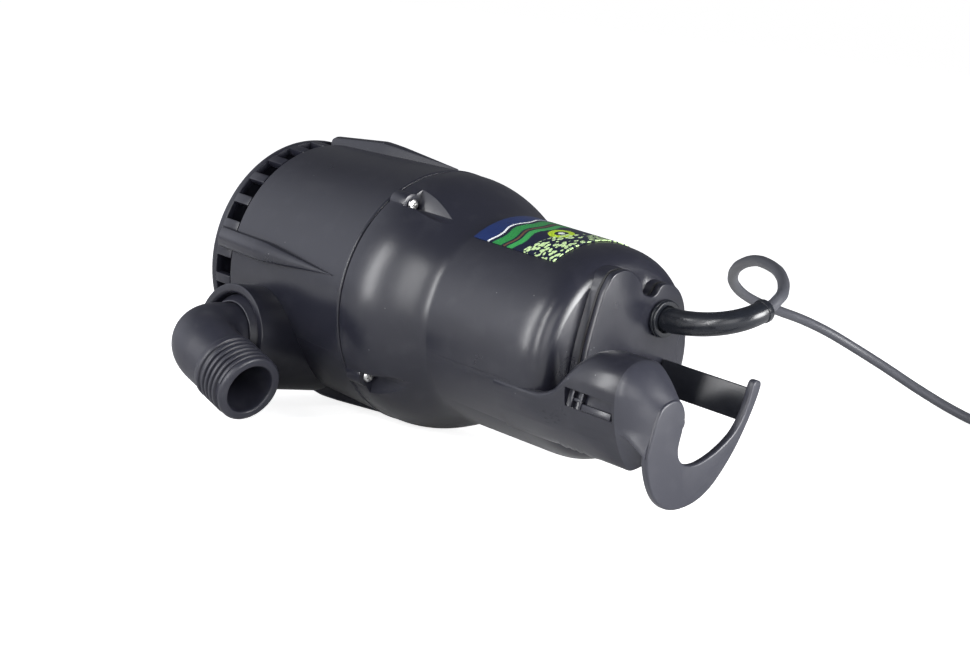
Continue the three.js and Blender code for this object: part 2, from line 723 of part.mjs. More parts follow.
const reliefRoot = new THREE.Vector3(reliefLow, glandY, glandZ);
const reliefMouth = reliefRoot.clone().add(reliefTip);
const reliefHeading = reliefTipShares.clone().normalize();
const reliefPath = new THREE.CubicBezierCurve3(
  reliefRoot, reliefRoot.clone().add(new THREE.Vector3(reliefPull, 0, 0)),
  reliefMouth.clone().addScaledVector(reliefHeading, -reliefPull), reliefMouth);
const straightShare = 0.06;
piece("strain_relief", materials.rubber, swept(reliefPath, 12, coarseSides, (share) => (
  share < straightShare ? reliefStart - clearance / 2 : reliefStart + (reliefEnd - reliefStart) * share)));

// Handle: tower cap, crescent grip and strap in one moulding

const neckShares = [
  [-0.118, 0.55], [-0.128, 0.675], [-0.235, 0.788], [-0.47, 0.808], [-0.68, 0.799],
];
const outerShares = [
  [-0.846, 0.72], [-0.99, 0.6], [-1.078, 0.453], [-1.096, 0.3], [-1.051, 0.121], [-0.95, -0.045],
  [-0.783, -0.186], [-0.528, -0.313], [-0.286, -0.391], [-0.046, -0.443], [0.15, -0.46], [0.19, -0.41],
];
const innerShares = [
  [0.155, -0.348], [-0.05, -0.338], [-0.23, -0.298], [-0.371, -0.22], [-0.525, -0.067], [-0.635, 0.102],
  [-0.672, 0.24], [-0.641, 0.359], [-0.537, 0.422], [-0.379, 0.432], [-0.225, 0.453],
];

function handle() {
  const start = towerEnd + clearance;
  const section = (gap, x) => {
    const radius = towerRadius - gap;
    const low = -Math.acos((towerInner + gap) / radius);
    const high = Math.asin((towerHigh - gap) / radius);
    const arc = Array.from({ length: 11 }, (_, k) => {
      const angle = low + ((high - low) * k) / 10;
      return new THREE.Vector3(x, radius * Math.sin(angle), radius * Math.cos(angle));
    });
    return [...arc, new THREE.Vector3(x, towerHigh - gap, towerInner + gap)];
  };
  const gripLow = handleTop - handleThickness;
  const neck = [...neckShares, innerShares[innerShares.length - 2], innerShares[innerShares.length - 1]];
  const neckAt = (x) => neck.map(([y, z]) => new THREE.Vector3(x, y * handleUnit, z * handleUnit));
  const cap = indexed(new ConvexGeometry([...section(0, start), ...neckAt(handleTop)]));
  const hollowEnd = gripLow - towerWall;
  const share = (hollowEnd - start) / (handleTop - start);
  const inner = section(towerWall, hollowEnd).map((corner) => {
    const middle = new THREE.Vector3(hollowEnd, neck[3][0] * handleUnit / 2, neck[1][1] * handleUnit);
    return corner.lerp(middle, share * 0.7);
  });
  const hollow = indexed(new ConvexGeometry([...section(towerWall, start - overrun), ...inner]));
  const grip = prism([...neckShares, ...outerShares, ...innerShares]
    .map(([y, z]) => [y * handleUnit, z * handleUnit]), gripLow, handleTop);
  const strap = block([plateTop + clearance, strapLow, strapZ - strapThickness], [handleTop, strapHigh, strapZ]);
  return join(cut(cap, hollow), grip, strap);
}

piece("handle", materials.housing, handle());

piece("capacitor", materials.pale, shifted(
  rod(towerEnd - capacitorLength, towerEnd, capacitorRadius, coarseSides),
  0, recessMiddle + recessWidth / 2 + towerWall + clearance + capacitorRadius, capacitorZ));

// Label, wrapped round the motor

function labelPlate() {
  const start = domeEnd + clearance;
  const ring = tube(start, start + labelLength, motorRadius + clearance,
    motorRadius + clearance + labelThickness, fineSides);
  const reach = 2 * motorRadius;
  const wedge = prism([
    [0, 0], ...[0, 1, 2, 3].map((k) => {
      const angle = labelStart + ((labelEnd - labelStart) * k) / 3;
      return [reach * Math.cos(angle), reach * Math.sin(angle)];
    }),
  ], start - overrun, start + labelLength + overrun);
  return common(ring, wedge);
}

piece("rating_label", materials.label, labelPlate());

// Motor

const statorEnd = statorStart + statorLength;
const bracketLow = -ledgeDepth + clearance;
const bracketTop = bracketLow + bracketPlate;
const upperPlateTop = statorEnd + clearance + upperBracketHeight;
const boltPlaces = (geometry) => quarterTurns.map((angle) => aboutAxis(shifted(geometry, 0, boltCircle, 0),
  angle + Math.PI / 4));
const boltLow = bracketLow + clearance * 4;
const boltBores = boltPlaces(rod(boltLow - clearance, upperPlateTop + overrun, boltRadius + clearance, screwSides));

function lowerBracket() {
  const hub = lowerBearingRadius + clearance;
  const floor = bracketLow + bracketPlate / 3;
  return cut(turned([
    [bracketLow, shaftBearing + 2 * runningGap], [bracketLow, seatBore - clearance],
    [bracketTop, seatBore - clearance], [bracketTop, statorRadius], [statorStart - clearance, statorRadius],
    [statorStart - clearance, skirtInner], [bracketTop, skirtInner], [bracketTop, hub + hubWall],
    [floor + bearingHeight, hub + hubWall], [floor + bearingHeight, hub], [floor, hub],
    [floor, shaftBearing + 2 * runningGap],
  ], middleSides), ...boltBores);
}

piece("lower_bracket", materials.castAluminium, lowerBracket());

function bearing(start, inner, outer) {
  const groove = (outer - inner) / 6;
  return turned([
    [start, inner], [start, inner + 2 * groove], [start + groove, inner + 2 * groove],
    [start + groove, outer - 2 * groove], [start, outer - 2 * groove], [start, outer],
    [start + bearingHeight, outer], [start + bearingHeight, inner],
  ], middleSides);
}

const lowerBearingStart = bracketLow + bracketPlate / 3 + clearance;
piece("lower_bearing", materials.steel, bearing(lowerBearingStart, shaftBearing + runningGap / 2, lowerBearingRadius));

piece("stator_core", materials.steel, cut(tube(statorStart, statorEnd, statorBore, statorRadius),
  ...boltBores));

function winding(start) {
  const round = windingHeight / 4;
  return turned([
    [start, windingInner], [start, windingOuter], [start + windingHeight - round, windingOuter],
    [start + windingHeight, windingOuter - round], [start + windingHeight, windingInner + round],
    [start + windingHeight - round, windingInner],
  ], middleSides);
}

piece("upper_winding", materials.copper, winding(statorEnd + clearance));
piece("lower_winding", materials.copper, indexed(winding(clearance - statorStart).scale(-1, 1, 1)));

function upperBracket() {
  const hub = upperBearingRadius + clearance;
  const plate = upperPlateTop - upperBracketPlate;
  const hubLow = plate - bearingHeight + upperBracketPlate;
  const body = turned([
    [statorEnd + clearance, skirtInner], [statorEnd + clearance, statorRadius], [upperPlateTop, statorRadius],
    [upperPlateTop, shaftTopRadius + 2 * runningGap], [plate + upperBracketPlate / 2, shaftTopRadius + 2 * runningGap],
    [plate + upperBracketPlate / 2, hub], [hubLow, hub], [hubLow, hub + hubWall], [plate, hub + hubWall],
    [plate, skirtInner],
  ], middleSides);
  const leadHole = shifted(rod(plate - overrun, upperPlateTop + overrun, leadHoleRadius, screwSides),
    0, 0, (hub + hubWall + skirtInner) / 2);
  return cut(body, leadHole, ...boltBores);
}

piece("upper_bracket", materials.castAluminium, upperBracket());
piece("upper_bearing", materials.steel, bearing(
  upperPlateTop - upperBracketPlate / 2 - bearingHeight - clearance,
  shaftTopRadius + runningGap / 2, upperBearingRadius));

boltPlaces(turned([
  [boltLow, 0], [boltLow, boltRadius], [upperPlateTop + clearance, boltRadius],
  [upperPlateTop + clearance, boltHeadRadius], [upperPlateTop + clearance + boltHeadHeight, boltHeadRadius],
  [upperPlateTop + clearance + boltHeadHeight, 0],
], screwSides)).forEach((geometry, k) => piece(`stator_bolt_${k + 1}`, materials.steel, geometry));

piece("terminal_block", materials.pale, block(
  [upperPlateTop + clearance, -blockLength / 2, -upperBearingRadius - blockWidth],
  [upperPlateTop + clearance + blockHeight, blockLength / 2, -upperBearingRadius]));

// Shaft train

const coreStart = statorStart - clearance;
const coreEnd = statorEnd + clearance;
const lowerBearingEnd = lowerBearingStart + bearingHeight;
piece("shaft", materials.steel, turned([
  [-shaftLow, 0], [-shaftLow, shaftThread], [-impellerBack, shaftThread], [-impellerBack, shaftSeal],
  [bracketLow - 2 * clearance, shaftSeal], [bracketLow - clearance, shaftBearing],
  [lowerBearingEnd + clearance, shaftBearing], [lowerBearingEnd + clearance, shaftCore],
  [coreEnd, shaftCore], [coreEnd, shaftTopRadius], [shaftHigh, shaftTopRadius], [shaftHigh, 0],
], middleSides));

piece("rotor_core", materials.steel, tube(coreStart, coreEnd - clearance, shaftCore + clearance, rotorRadius,
  middleSides));

function impeller() {
  const plateLow2 = -impellerBack - clearance - impellerPlate;
  const bottom = -impellerBack - clearance - impellerDepth - impellerPlate;
  const body = turned([
    [bottom + nutHeight, shaftThread + clearance], [bottom + nutHeight, impellerHub - impellerPlate],
    [plateLow2, impellerHub], [plateLow2, impellerRadius], [plateLow2 + impellerPlate, impellerRadius],
    [plateLow2 + impellerPlate, shaftThread + clearance],
  ], middleSides);
  const vaneLine = (offset) => Array.from({ length: 5 }, (_, k) => {
    const share = k / 4;
    const radius = impellerHub - impellerPlate / 2 + (impellerRadius - impellerHub) * share;
    const angle = vaneSweep * share + offset / radius;
    return [radius * Math.cos(angle), radius * Math.sin(angle)];
  });
  const outline = [...vaneLine(-vaneThickness / 2), ...vaneLine(vaneThickness / 2).reverse()];
  const vane = prism(outline, bottom, plateLow2 + impellerPlate / 2);
  const vanes = Array.from({ length: vaneCount }, (_, k) => aboutAxis(vane, (2 * Math.PI * k) / vaneCount));
  return join(body, ...vanes.map((one) => cut(one, rod(bottom - overrun, bottom + nutHeight,
    nutRadius + 1.5 * clearance, middleSides))));
}

piece("impeller", materials.housing, impeller());

const nutLow = -impellerBack - clearance - impellerDepth - impellerPlate;
piece("impeller_nut", materials.steel, cut(
  rod(nutLow, nutLow + nutHeight - clearance, nutRadius, nutSides),
  rod(nutLow - overrun, nutLow + overrun, shaftThread + clearance, middleSides)));

piece("suction_plate", materials.steel, tube(floorTop + clearance, floorTop + clearance + suctionPlateHeight,
  suctionEye, suctionPlateRadius, middleSides));

const sealTop = -sealPlateDrop;
piece("seal_plate", materials.housing, turned([
  [sealTop - sealPlateHeight, sealSeatRadius + clearance],
  [sealTop - sealPlateHeight, casingRadiusAt(sealTop - sealPlateHeight) - casingWall - clearance],
  [sealTop, casingRadiusAt(sealTop - sealPlateHeight) - casingWall - clearance],
  [sealTop, sealBell + sealBellWall], [bracketLow - clearance, sealBell + sealBellWall],
  [bracketLow - clearance, sealBell], [sealTop, sealBell], [sealTop, sealSeatRadius + clearance],
], middleSides));
piece("seal_seat", materials.ceramic, tube(sealTop - sealPlateHeight, sealTop, shaftSeal + runningGap,
  sealSeatRadius, middleSides));
piece("seal_bellows", materials.rubber, tube(-impellerBack + clearance, sealTop - sealPlateHeight - clearance,
  shaftSeal + clearance, sealRotorRadius, middleSides));

// Outlet: ring seal, elbow and lock ring

const noseEnd = bossReach - socketDepth + clearance - elbowNoseLength;
const collarLow = bossReach - socketDepth + clearance;

function elbow() {
  const bendPoint = bossReach + elbowRise;
  const outletDirection = new THREE.Vector3(Math.cos(elbowSwivel), 0, 0)
    .addScaledVector(bossSide, Math.sin(elbowSwivel));
  const at = (distance) => bossOrigin.clone().addScaledVector(bossAxis, distance);
  const corner = at(bendPoint);
  const out = (distance) => corner.clone().addScaledVector(outletDirection, distance);
  const limb = (start, reach, radius, steps, sides) => {
    const path = new THREE.CurvePath();
    path.add(new THREE.LineCurve3(at(start), at(bendPoint - elbowBend)));
    path.add(new THREE.QuadraticBezierCurve3(at(bendPoint - elbowBend), corner, out(elbowBend)));
    path.add(new THREE.LineCurve3(out(elbowBend), out(reach)));
    return swept(path, steps, sides, () => radius);
  };
  const stem = onBoss(turned([
    [noseEnd, 0], [noseEnd, elbowNose], [collarLow, elbowNose], [collarLow, collarRadius],
    [collarLow + collarHeight, collarRadius], [collarLow + collarHeight, elbowNeck],
    [bendPoint - elbowBend + overrun, elbowNeck], [bendPoint - elbowBend + overrun, 0],
  ], outletSides));
  const threadLength = threadCount * threadPitch;
  const threadEnd = elbowReach - threadLead / 2;
  const shoulder = threadEnd - threadLength - threadShoulder;
  const rings = Array.from({ length: threadCount }, (_, k) => {
    const start = threadEnd - threadLength + k * threadPitch;
    return [[start, threadRoot], [start + threadPitch / 2, threadCrest]];
  }).flat();
  const sleeve = along(turned([
    [shoulder - threadShoulder, 0], [shoulder - threadShoulder, threadRoot], [shoulder, threadCrest],
    [threadEnd - threadLength - clearance, threadCrest], ...rings,
    [threadEnd, threadRoot], [elbowReach, threadRoot], [elbowReach, 0],
  ], outletSides), corner, outletDirection, bossAxis);
  const outside = limb(collarLow, threadEndReach(), elbowRadius, 12, outletSides);
  const inside = limb(noseEnd - overrun, elbowReach + overrun, elbowBore, 10, coarseSides);
  return cut(join(stem, outside, sleeve), inside);
}

function threadEndReach() {
  return elbowReach - threadLead / 2 - threadCount * threadPitch;
}

piece("discharge_elbow", materials.housing, elbow());
piece("elbow_o_ring", materials.rubber, onBoss(tube(noseEnd + elbowNoseLength / 3, noseEnd + (elbowNoseLength * 2) / 3,
  elbowNose + clearance, outletBore - clearance, outletSides)));
piece("elbow_lock_ring", materials.housing, onBoss(tube(collarLow + collarHeight + clearance,
  collarLow + collarHeight + clearance + lockRingHeight, elbowRadius + runningGap, socketBore - clearance,
  outletSides)));

// The pump is laid down on the dome, the elbow's mouth and the handle's grip.

function lowestVertex(mesh, up) {
  const position = mesh.geometry.attributes.position;
  const vertex = new THREE.Vector3();
  const lowest = new THREE.Vector3();
  let least = Infinity;
  for (let i = 0; i < position.count; i += 1) {
    vertex.fromBufferAttribute(position, i);
    if (vertex.dot(up) < least) {
      least = vertex.dot(up);
      lowest.copy(vertex);
    }
  }
  return lowest;
}

function restingUp() {
  const feet = ["motor_housing", "discharge_elbow", "handle"].map((name) => pump.getObjectByName(name));
  let up = new THREE.Vector3(0, 1, 0);
  for (let round = 0; round < 12; round += 1) {
    const [dome, mouth, grip] = feet.map((mesh) => lowestVertex(mesh, up));
    up = new THREE.Vector3().crossVectors(mouth.sub(dome), grip.sub(dome)).normalize();
    if (up.y < 0) up.negate();
  }
  return up;
}

const up = restingUp();
const forward = new THREE.Vector3(1, 0, 0).addScaledVector(up, -up.x).normalize();
const left = new THREE.Vector3().crossVectors(up, forward);
const laid = new THREE.Matrix4().makeBasis(forward, left, up).transpose();
const box = new THREE.Box3();
const point = new THREE.Vector3();
pump.children.forEach((mesh) => {
  const position = mesh.geometry.attributes.position;
  for (let i = 0; i < position.count; i += 1) box.expandByPoint(point.fromBufferAttribute(position, i).applyMatrix4(laid));
});
const middlePoint = box.getCenter(new THREE.Vector3());
laid.premultiply(new THREE.Matrix4().makeTranslation(-middlePoint.x, -middlePoint.y, -box.min.z));
pump.applyMatrix4(laid);

// The cord leaves the strain relief, arches over behind the pump and comes down to the floor, where it
// runs into a coil. These points are on the floor's frame and were chosen by hand.

const cordRadius = cordDiameter / 2;
const mouth = reliefMouth.clone().applyMatrix4(laid);
const heading = reliefHeading.clone().transformDirection(laid);
const floorHeight = cordRadius + 2 * clearance + tieThickness;
const outerLoop = coilMiddleRadius + ((coilLoops - 0.5) * coilRadialPitch) / 2;
const entry = coilPlace.clone().add(new THREE.Vector3(-cordDiameter, -outerLoop, floorHeight));
const cordRoute = [
  mouth.clone().addScaledVector(heading, clearance),
  mouth.clone().addScaledVector(heading, cordDiameter),
  ...[
    [163.6, 88.3, 112.4], [161.4, 93.6, 114.4], [158.2, 98.4, 116], [146.8, 111.5, 119.8],
    [132, 125.1, 122.8], [116.5, 137.9, 124],
    [84, 162.9, 123.5], [53.5, 187.9, 119],
    [20, 217.9, 111], [-12.5, 252.4, 101], [-38, 284.9, 91.5], [-56, 317.4, 82], [-65.5, 346.9, 74.5],
    [-68, 372.4, 69], [-66, 395.9, 63.5], [-60, 417.9, 56], [-49, 437.9, 46], [-33, 454.9, 35], [-13, 468.4, 23.5],
    [10, 478.9, 13.5], [30, 485.9, 7.6],
  ].map(([x, y, z]) => new THREE.Vector3(x, y, z)),
  entry.clone().add(new THREE.Vector3(-3 * cordDiameter, -cordDiameter / 4, 0)),
  entry.clone().add(new THREE.Vector3(-clearance, 0, 0)),
];

function cordTube(route, steps) {
  const section = new THREE.Shape(circlePoints(cordRadius, cordSides));
  const path = new THREE.CatmullRomCurve3(route, false, "centripetal");
  return indexed(new THREE.ExtrudeGeometry(section, { steps, bevelEnabled: false, extrudePath: path }));
}

piece("cord_free", materials.rubber, cordTube(cordRoute, cordSteps), loose);

// The coil spirals in and out at a steady rate and climbs one layer in each half turn where it reverses.

function coilCentre(turn) {
  const layer = Math.min(Math.floor(turn / coilLoops), coilLayers - 1);
  const within = turn - layer * coilLoops;
  const winding = coilLoops - 0.5;
  const last = layer === coilLayers - 1;
  const inward = (last ? within : Math.min(within, winding)) * coilRadialPitch;
  const climb = last ? 0 : Math.max(within - winding, 0) * 2;
  const span = winding * coilRadialPitch;
  const radius = outerLoop - (layer % 2 === 0 ? inward : span - inward);
  const angle = 2 * Math.PI * turn;
  return new THREE.Vector3(radius * Math.sin(angle), -radius * Math.cos(angle),
    floorHeight + (layer + climb) * coilLayerPitch).add(coilPlace);
}

const coilTurns = coilLayers * coilLoops;
const coilPoints = Array.from({ length: coilTurns * coilSteps + 1 }, (_, k) => coilCentre(k / coilSteps));
coilPoints.unshift(coilPoints[0].clone().add(new THREE.Vector3(-cordDiameter, 0, 0)));
coilPoints.push(coilPoints[coilPoints.length - 1].clone().add(new THREE.Vector3(cordDiameter, 0, 0)));

function leastGap(points, radius, skipped) {
  let least = Infinity;
  points.forEach((centre, i) => {
    for (let k = i + skipped; k < points.length; k += 1) {
      least = Math.min(least, centre.distanceTo(points[k]) - 2 * radius);
    }
  });
  return least;
}

console.log(`coil: least gap to itself ${leastGap(coilPoints, cordRadius, coilSteps / 2).toFixed(2)} mm`);

function tubeThrough(points, radius, sides) {
  const vertices = [];
  const index = [];
  const upward = new THREE.Vector3(0, 0, 1);
  points.forEach((centre, i) => {
    const before = points[Math.max(i - 1, 0)];
    const after = points[Math.min(i + 1, points.length - 1)];
    const ahead = after.clone().sub(before).normalize();
    const across = new THREE.Vector3().crossVectors(ahead, upward).normalize();
    const over = new THREE.Vector3().crossVectors(across, ahead);
    for (let k = 0; k < sides; k += 1) {
      const angle = (2 * Math.PI * k) / sides;
      vertices.push(centre.clone().addScaledVector(across, radius * Math.cos(angle))
        .addScaledVector(over, radius * Math.sin(angle)));
    }
  });
  const first = vertices.push(points[0].clone()) - 1;
  const last = vertices.push(points[points.length - 1].clone()) - 1;
  const end = (points.length - 1) * sides;
  for (let k = 0; k < sides; k += 1) {
    const next = (k + 1) % sides;
    for (let row = 0; row < end; row += sides) {
      index.push(row + k, row + next, row + sides + next, row + k, row + sides + next, row + sides + k);
    }
    index.push(first, next, k, last, end + k, end + next);
  }
  const geometry = new THREE.BufferGeometry().setFromPoints(vertices);
  geometry.setIndex(index);
  return facingOut(geometry);
}

piece("cord_coil", materials.rubber, tubeThrough(coilPoints, cordRadius, coilSides), loose);

// A flat tie holds the turns together.

function coilTie() {
  const slack = cordRadius + 2 * clearance;
  const low = outerLoop - (coilLoops - 0.5) * coilRadialPitch - slack;
  const high = outerLoop + slack;
  const base = tieThickness + clearance;
  const top = floorHeight + (coilLayers - 1) * coilLayerPitch + slack;
  const outside = block([low - tieThickness, -tieWidth / 2, base - tieThickness],
    [high + tieThickness, tieWidth / 2, top + tieThickness]);
  const inside = block([low, -tieWidth, base], [high, tieWidth, top]);
  return cut(outside, inside).rotateZ(tieAngle).translate(coilPlace.x, coilPlace.y, 0);
}

piece("coil_tie", materials.rubber, coilTie(), loose);

// Plug: it lies on its side past the coil, and a short tail joins the two.

const exit = coilPoints[coilPoints.length - 1];
const plugMouth = new THREE.Vector3(exit.x + plugPlace, exit.y, plugRadius + clearance);
const tailRoute = Array.from({ length: tailSteps + 1 }, (_, k) => {
  const share = k / tailSteps;
  const start = exit.x + clearance;
  return new THREE.Vector3(start + (plugMouth.x - clearance - start) * share, exit.y,
    THREE.MathUtils.lerp(exit.z, plugMouth.z, (1 - Math.cos(Math.PI * share)) / 2));
});
piece("cord_tail", materials.rubber, cordTube(tailRoute, tailSteps), loose);

const onPlug = (geometry) => geometry.clone().translate(plugMouth.x, plugMouth.y, plugMouth.z);

function plugBody() {
  const bodyEnd = plugNeckLength + plugLength;
  const body = turned([
    [0, 0], [0, plugNeck - plugLip], [plugNeckLength * 0.8, plugNeck], [plugNeckLength, plugNeck * 1.4],
    [plugNeckLength + plugLength / 4, plugRadius * 0.8], [plugNeckLength + plugLength / 2, plugRadius],
    [bodyEnd - chamfer, plugRadius], [bodyEnd, plugRadius - chamfer], [bodyEnd, 0],
  ], middleSides);
  return cut(body, ...pins(clearance, bodyEnd - pinLength / 2, bodyEnd + overrun));
}

function pins(extra, start, end) {
  return [-1, 1].map((side) => shifted(rod(start, end, pinRadius + extra, screwSides),
    0, (side * pinSpacing) / 2, 0));
}

piece("plug_body", materials.rubber, onPlug(plugBody()), loose);
const pinStart = plugNeckLength + plugLength - pinLength / 2 + clearance;
pins(0, pinStart, pinStart + 1.5 * pinLength).forEach((geometry, k) => {
  piece(`plug_pin_${k + 1}`, materials.steel, onPlug(geometry), loose);
});

const model = new THREE.Group();
model.add(pump, loose);
export default model;
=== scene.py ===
"""Looks of a submersible bilge pump that lies on a pale floor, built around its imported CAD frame."""

import json
import logging
import math
from dataclasses import dataclass
from enum import Enum
from typing import Optional, Sequence

import bmesh
import bpy
from mathutils import Matrix, Vector


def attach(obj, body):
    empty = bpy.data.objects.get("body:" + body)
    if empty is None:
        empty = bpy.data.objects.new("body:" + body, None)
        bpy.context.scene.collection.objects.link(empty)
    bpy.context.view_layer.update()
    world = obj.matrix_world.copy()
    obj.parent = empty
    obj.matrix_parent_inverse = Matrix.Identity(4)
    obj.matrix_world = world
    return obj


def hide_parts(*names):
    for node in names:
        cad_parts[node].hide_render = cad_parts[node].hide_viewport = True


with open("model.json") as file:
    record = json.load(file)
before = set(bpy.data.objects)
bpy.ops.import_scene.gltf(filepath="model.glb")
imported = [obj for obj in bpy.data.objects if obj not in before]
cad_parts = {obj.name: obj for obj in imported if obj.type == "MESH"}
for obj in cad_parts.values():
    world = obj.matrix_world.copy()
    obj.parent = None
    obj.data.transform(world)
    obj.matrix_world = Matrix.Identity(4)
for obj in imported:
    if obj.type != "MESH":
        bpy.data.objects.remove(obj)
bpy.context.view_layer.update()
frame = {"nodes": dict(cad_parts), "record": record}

LOG = logging.getLogger("bilge_pump")
MM = 0.001
TAU = 2 * math.pi
QUARTERS = [k * TAU / 4 for k in range(4)]
DIAGONAL = math.sqrt(0.5)
GAP = 0.3

Pair = tuple[float, float]
Triple = tuple[float, float, float]
Solid = bmesh.types.BMesh
Socket = bpy.types.NodeSocket


class Body(str, Enum):
    """The CAD bodies that pieces ride on."""

    PUMP = "pump"
    ELBOW = "elbow"


class Cut(str, Enum):
    """What a boolean does."""

    UNION = "UNION"
    DIFFERENCE = "DIFFERENCE"


# Frames


def pump_frame() -> Matrix:
    """The matrix from the pump's own frame, in millimetres with x along its axis, to the row's frame."""
    joints = {joint["name"]: joint for joint in frame["record"]["behaviour"]["joints"]}
    origin = Vector(joints["rotor_spin"]["pos_m"])
    along = Vector(joints["rotor_spin"]["axis"]).normalized()
    boss = Vector(joints["elbow_swivel"]["axis"]).normalized()
    side = along.cross(boss)
    turn = Outlet.boss_turn
    across = boss * math.cos(turn) - side * math.sin(turn)
    outward = boss * math.sin(turn) + side * math.cos(turn)
    axes = Matrix((along, across, outward)).transposed().to_4x4()
    return Matrix.Translation(origin) @ axes @ Matrix.Scale(MM, 4)


def basis(direction: Vector, side: Vector, origin: Vector) -> Matrix:
    """The matrix that carries x to a direction from an origin."""
    third = direction.cross(side).normalized()
    second = third.cross(direction)
    return Matrix.Translation(origin) @ Matrix((direction, second, third)).transposed().to_4x4()


# Outlines


def rounded(points: Sequence[Pair], radius: float, steps: int = 3) -> list[Pair]:
    """Rounds the inner corners of an open profile.

    Args:
        points: The profile's corners.
        radius: How far each rounding starts from its corner, at most.
        steps: The number of steps in each rounding.

    Returns:
        The profile with its corners rounded.
    """
    line = [Vector(point) for point in points]
    result = [line[0]]
    for before, corner, after in zip(line, line[1:], line[2:]):
        reach = min(radius, (before - corner).length / 2.1, (after - corner).length / 2.1)
        start = corner + (before - corner).normalized() * reach
        end = corner + (after - corner).normalized() * reach
        for k in range(steps + 1):
            share = k / steps
            result.append(start.lerp(corner, share).lerp(corner.lerp(end, share), share))
    return [tuple(point) for point in [*result, line[-1]]]


def smooth(points: Sequence[Pair], steps: int = 4, closed: bool = True) -> list[Pair]:
    """Runs a smooth line through points, either closed or with two ends."""
    line = [Vector(point) for point in points]
    line = [line[-1], *line, *line[:2]] if closed else [line[0], *line, line[-1]]
    result = []
    for a, b, c, d in zip(line, line[1:], line[2:], line[3:]):
        for step in range(steps):
            t = step / steps
            result.append(tuple(0.5 * (2 * b + (c - a) * t + (2 * a - 5 * b + 4 * c - d) * t ** 2
                                       + (3 * b - a - 3 * c + d) * t ** 3)))
    return result if closed else [*result, points[-1]]


def on_curve(corners: Sequence[Vector], t: float) -> Vector:
    """A point on the cubic curve that four corners give."""
    a, b, c, d = corners
    return a * (1 - t) ** 3 + b * 3 * t * (1 - t) ** 2 + c * 3 * t * t * (1 - t) + d * t ** 3


def bezier(corners: Sequence[Pair], steps: int) -> list[Pair]:
    """Points at equal steps on a cubic curve."""
    corners = [Vector(corner) for corner in corners]
    return [tuple(on_curve(corners, k / steps)) for k in range(steps + 1)]


def spread(outline: Sequence[Pair], count: int = 120) -> list[Pair]:
    """Points of an outline at equal angles about its middle, from which all of it can be seen."""
    line = [Vector(point) for point in outline]
    middle = sum(line, Vector((0, 0))) / len(line)
    tiny = 1e-9
    result = []
    for k in range(count):
        ray = Vector((math.cos(TAU * k / count), math.sin(TAU * k / count)))
        for a, b in zip(line, line[1:] + line[:1]):
            edge = b - a
            across = ray.x * edge.y - ray.y * edge.x
            if abs(across) < tiny:
                continue
            toward = a - middle
            reach = (toward.x * edge.y - toward.y * edge.x) / across
            share = (toward.x * ray.y - toward.y * ray.x) / across
            if reach > 0 and -tiny <= share < 1:
                result.append(tuple(middle + ray * reach))
                break
    return result


def dense(points: Sequence[Vector], steps: int) -> list[Vector]:
    """Points on the centripetal curve through a route, without its last point."""
    line = [points[0] * 2 - points[1], *points, points[-1] * 2 - points[-2]]
    result = []
    for a, b, c, d in zip(line, line[1:], line[2:], line[3:]):
        ta = 0.0
        tb = ta + (b - a).length ** 0.5
        tc = tb + (c - b).length ** 0.5
        td = tc + (d - c).length ** 0.5
        for step in range(steps):
            t = tb + (tc - tb) * step / steps
            ab = a.lerp(b, (t - ta) / (tb - ta))
            bc = b.lerp(c, (t - tb) / (tc - tb))
            cd = c.lerp(d, (t - tc) / (td - tc))
            low = ab.lerp(bc, (t - ta) / (tc - ta))
            high = bc.lerp(cd, (t - tb) / (td - tb))
            result.append(low.lerp(high, (t - tb) / (tc - tb)))
    return result


# Solids, drawn in millimetres


def as_mesh(solid: Solid, name: str) -> bpy.types.Mesh:
    """Turns a solid into a mesh and frees it."""
    mesh = bpy.data.meshes.new(name)
    solid.to_mesh(mesh)
    solid.free()
    return mesh


def linked(name: str, data: bpy.types.ID) -> bpy.types.Object:
    """A new object in the scene."""
    thing = bpy.data.objects.new(name, data)
    bpy.context.scene.collection.objects.link(thing)
    return thing


def cleaned(solid: Solid) -> Solid:
    """Merges doubles and turns all faces outwards."""
    bmesh.ops.remove_doubles(solid, verts=solid.verts, dist=1e-3)
    bmesh.ops.dissolve_degenerate(solid, edges=solid.edges, dist=1e-4)
    bmesh.ops.recalc_face_normals(solid, faces=solid.faces)
    return solid


def spun(profile: Sequence[Pair], closed: bool, angle: float, steps: int, climb: float = 0.0) -> Solid:
    """Spins a profile about the x axis.

    Args:
        profile: Its corners as (x, radius).
        closed: Whether its last corner is joined to its first.
        angle: How far it is spun.
        steps: The number of steps.
        climb: How far each step climbs along x.

    Returns:
        The solid, with its ends filled.
    """
    solid = bmesh.new()
    verts = [solid.verts.new((x, radius, 0.0)) for x, radius in profile]
    edges = [solid.edges.new(pair) for pair in zip(verts, verts[1:])]
    if closed:
        edges.append(solid.edges.new((verts[-1], verts[0])))
    whole = angle == TAU
    bmesh.ops.spin(solid, geom=verts + edges, axis=(1, 0, 0), dvec=(climb, 0, 0), angle=angle, steps=steps,
                   use_merge=whole)
    if not whole:
        bmesh.ops.holes_fill(solid, edges=[edge for edge in solid.edges if edge.is_boundary], sides=0)
    return cleaned(solid)


def lathe(profile: Sequence[Pair], steps: int = 96, angle: float = TAU) -> Solid:
    """Spins a profile, which is closed on itself unless both its ends lie on the axis."""
    return spun(profile, profile[0][1] != 0 or profile[-1][1] != 0, angle, steps)


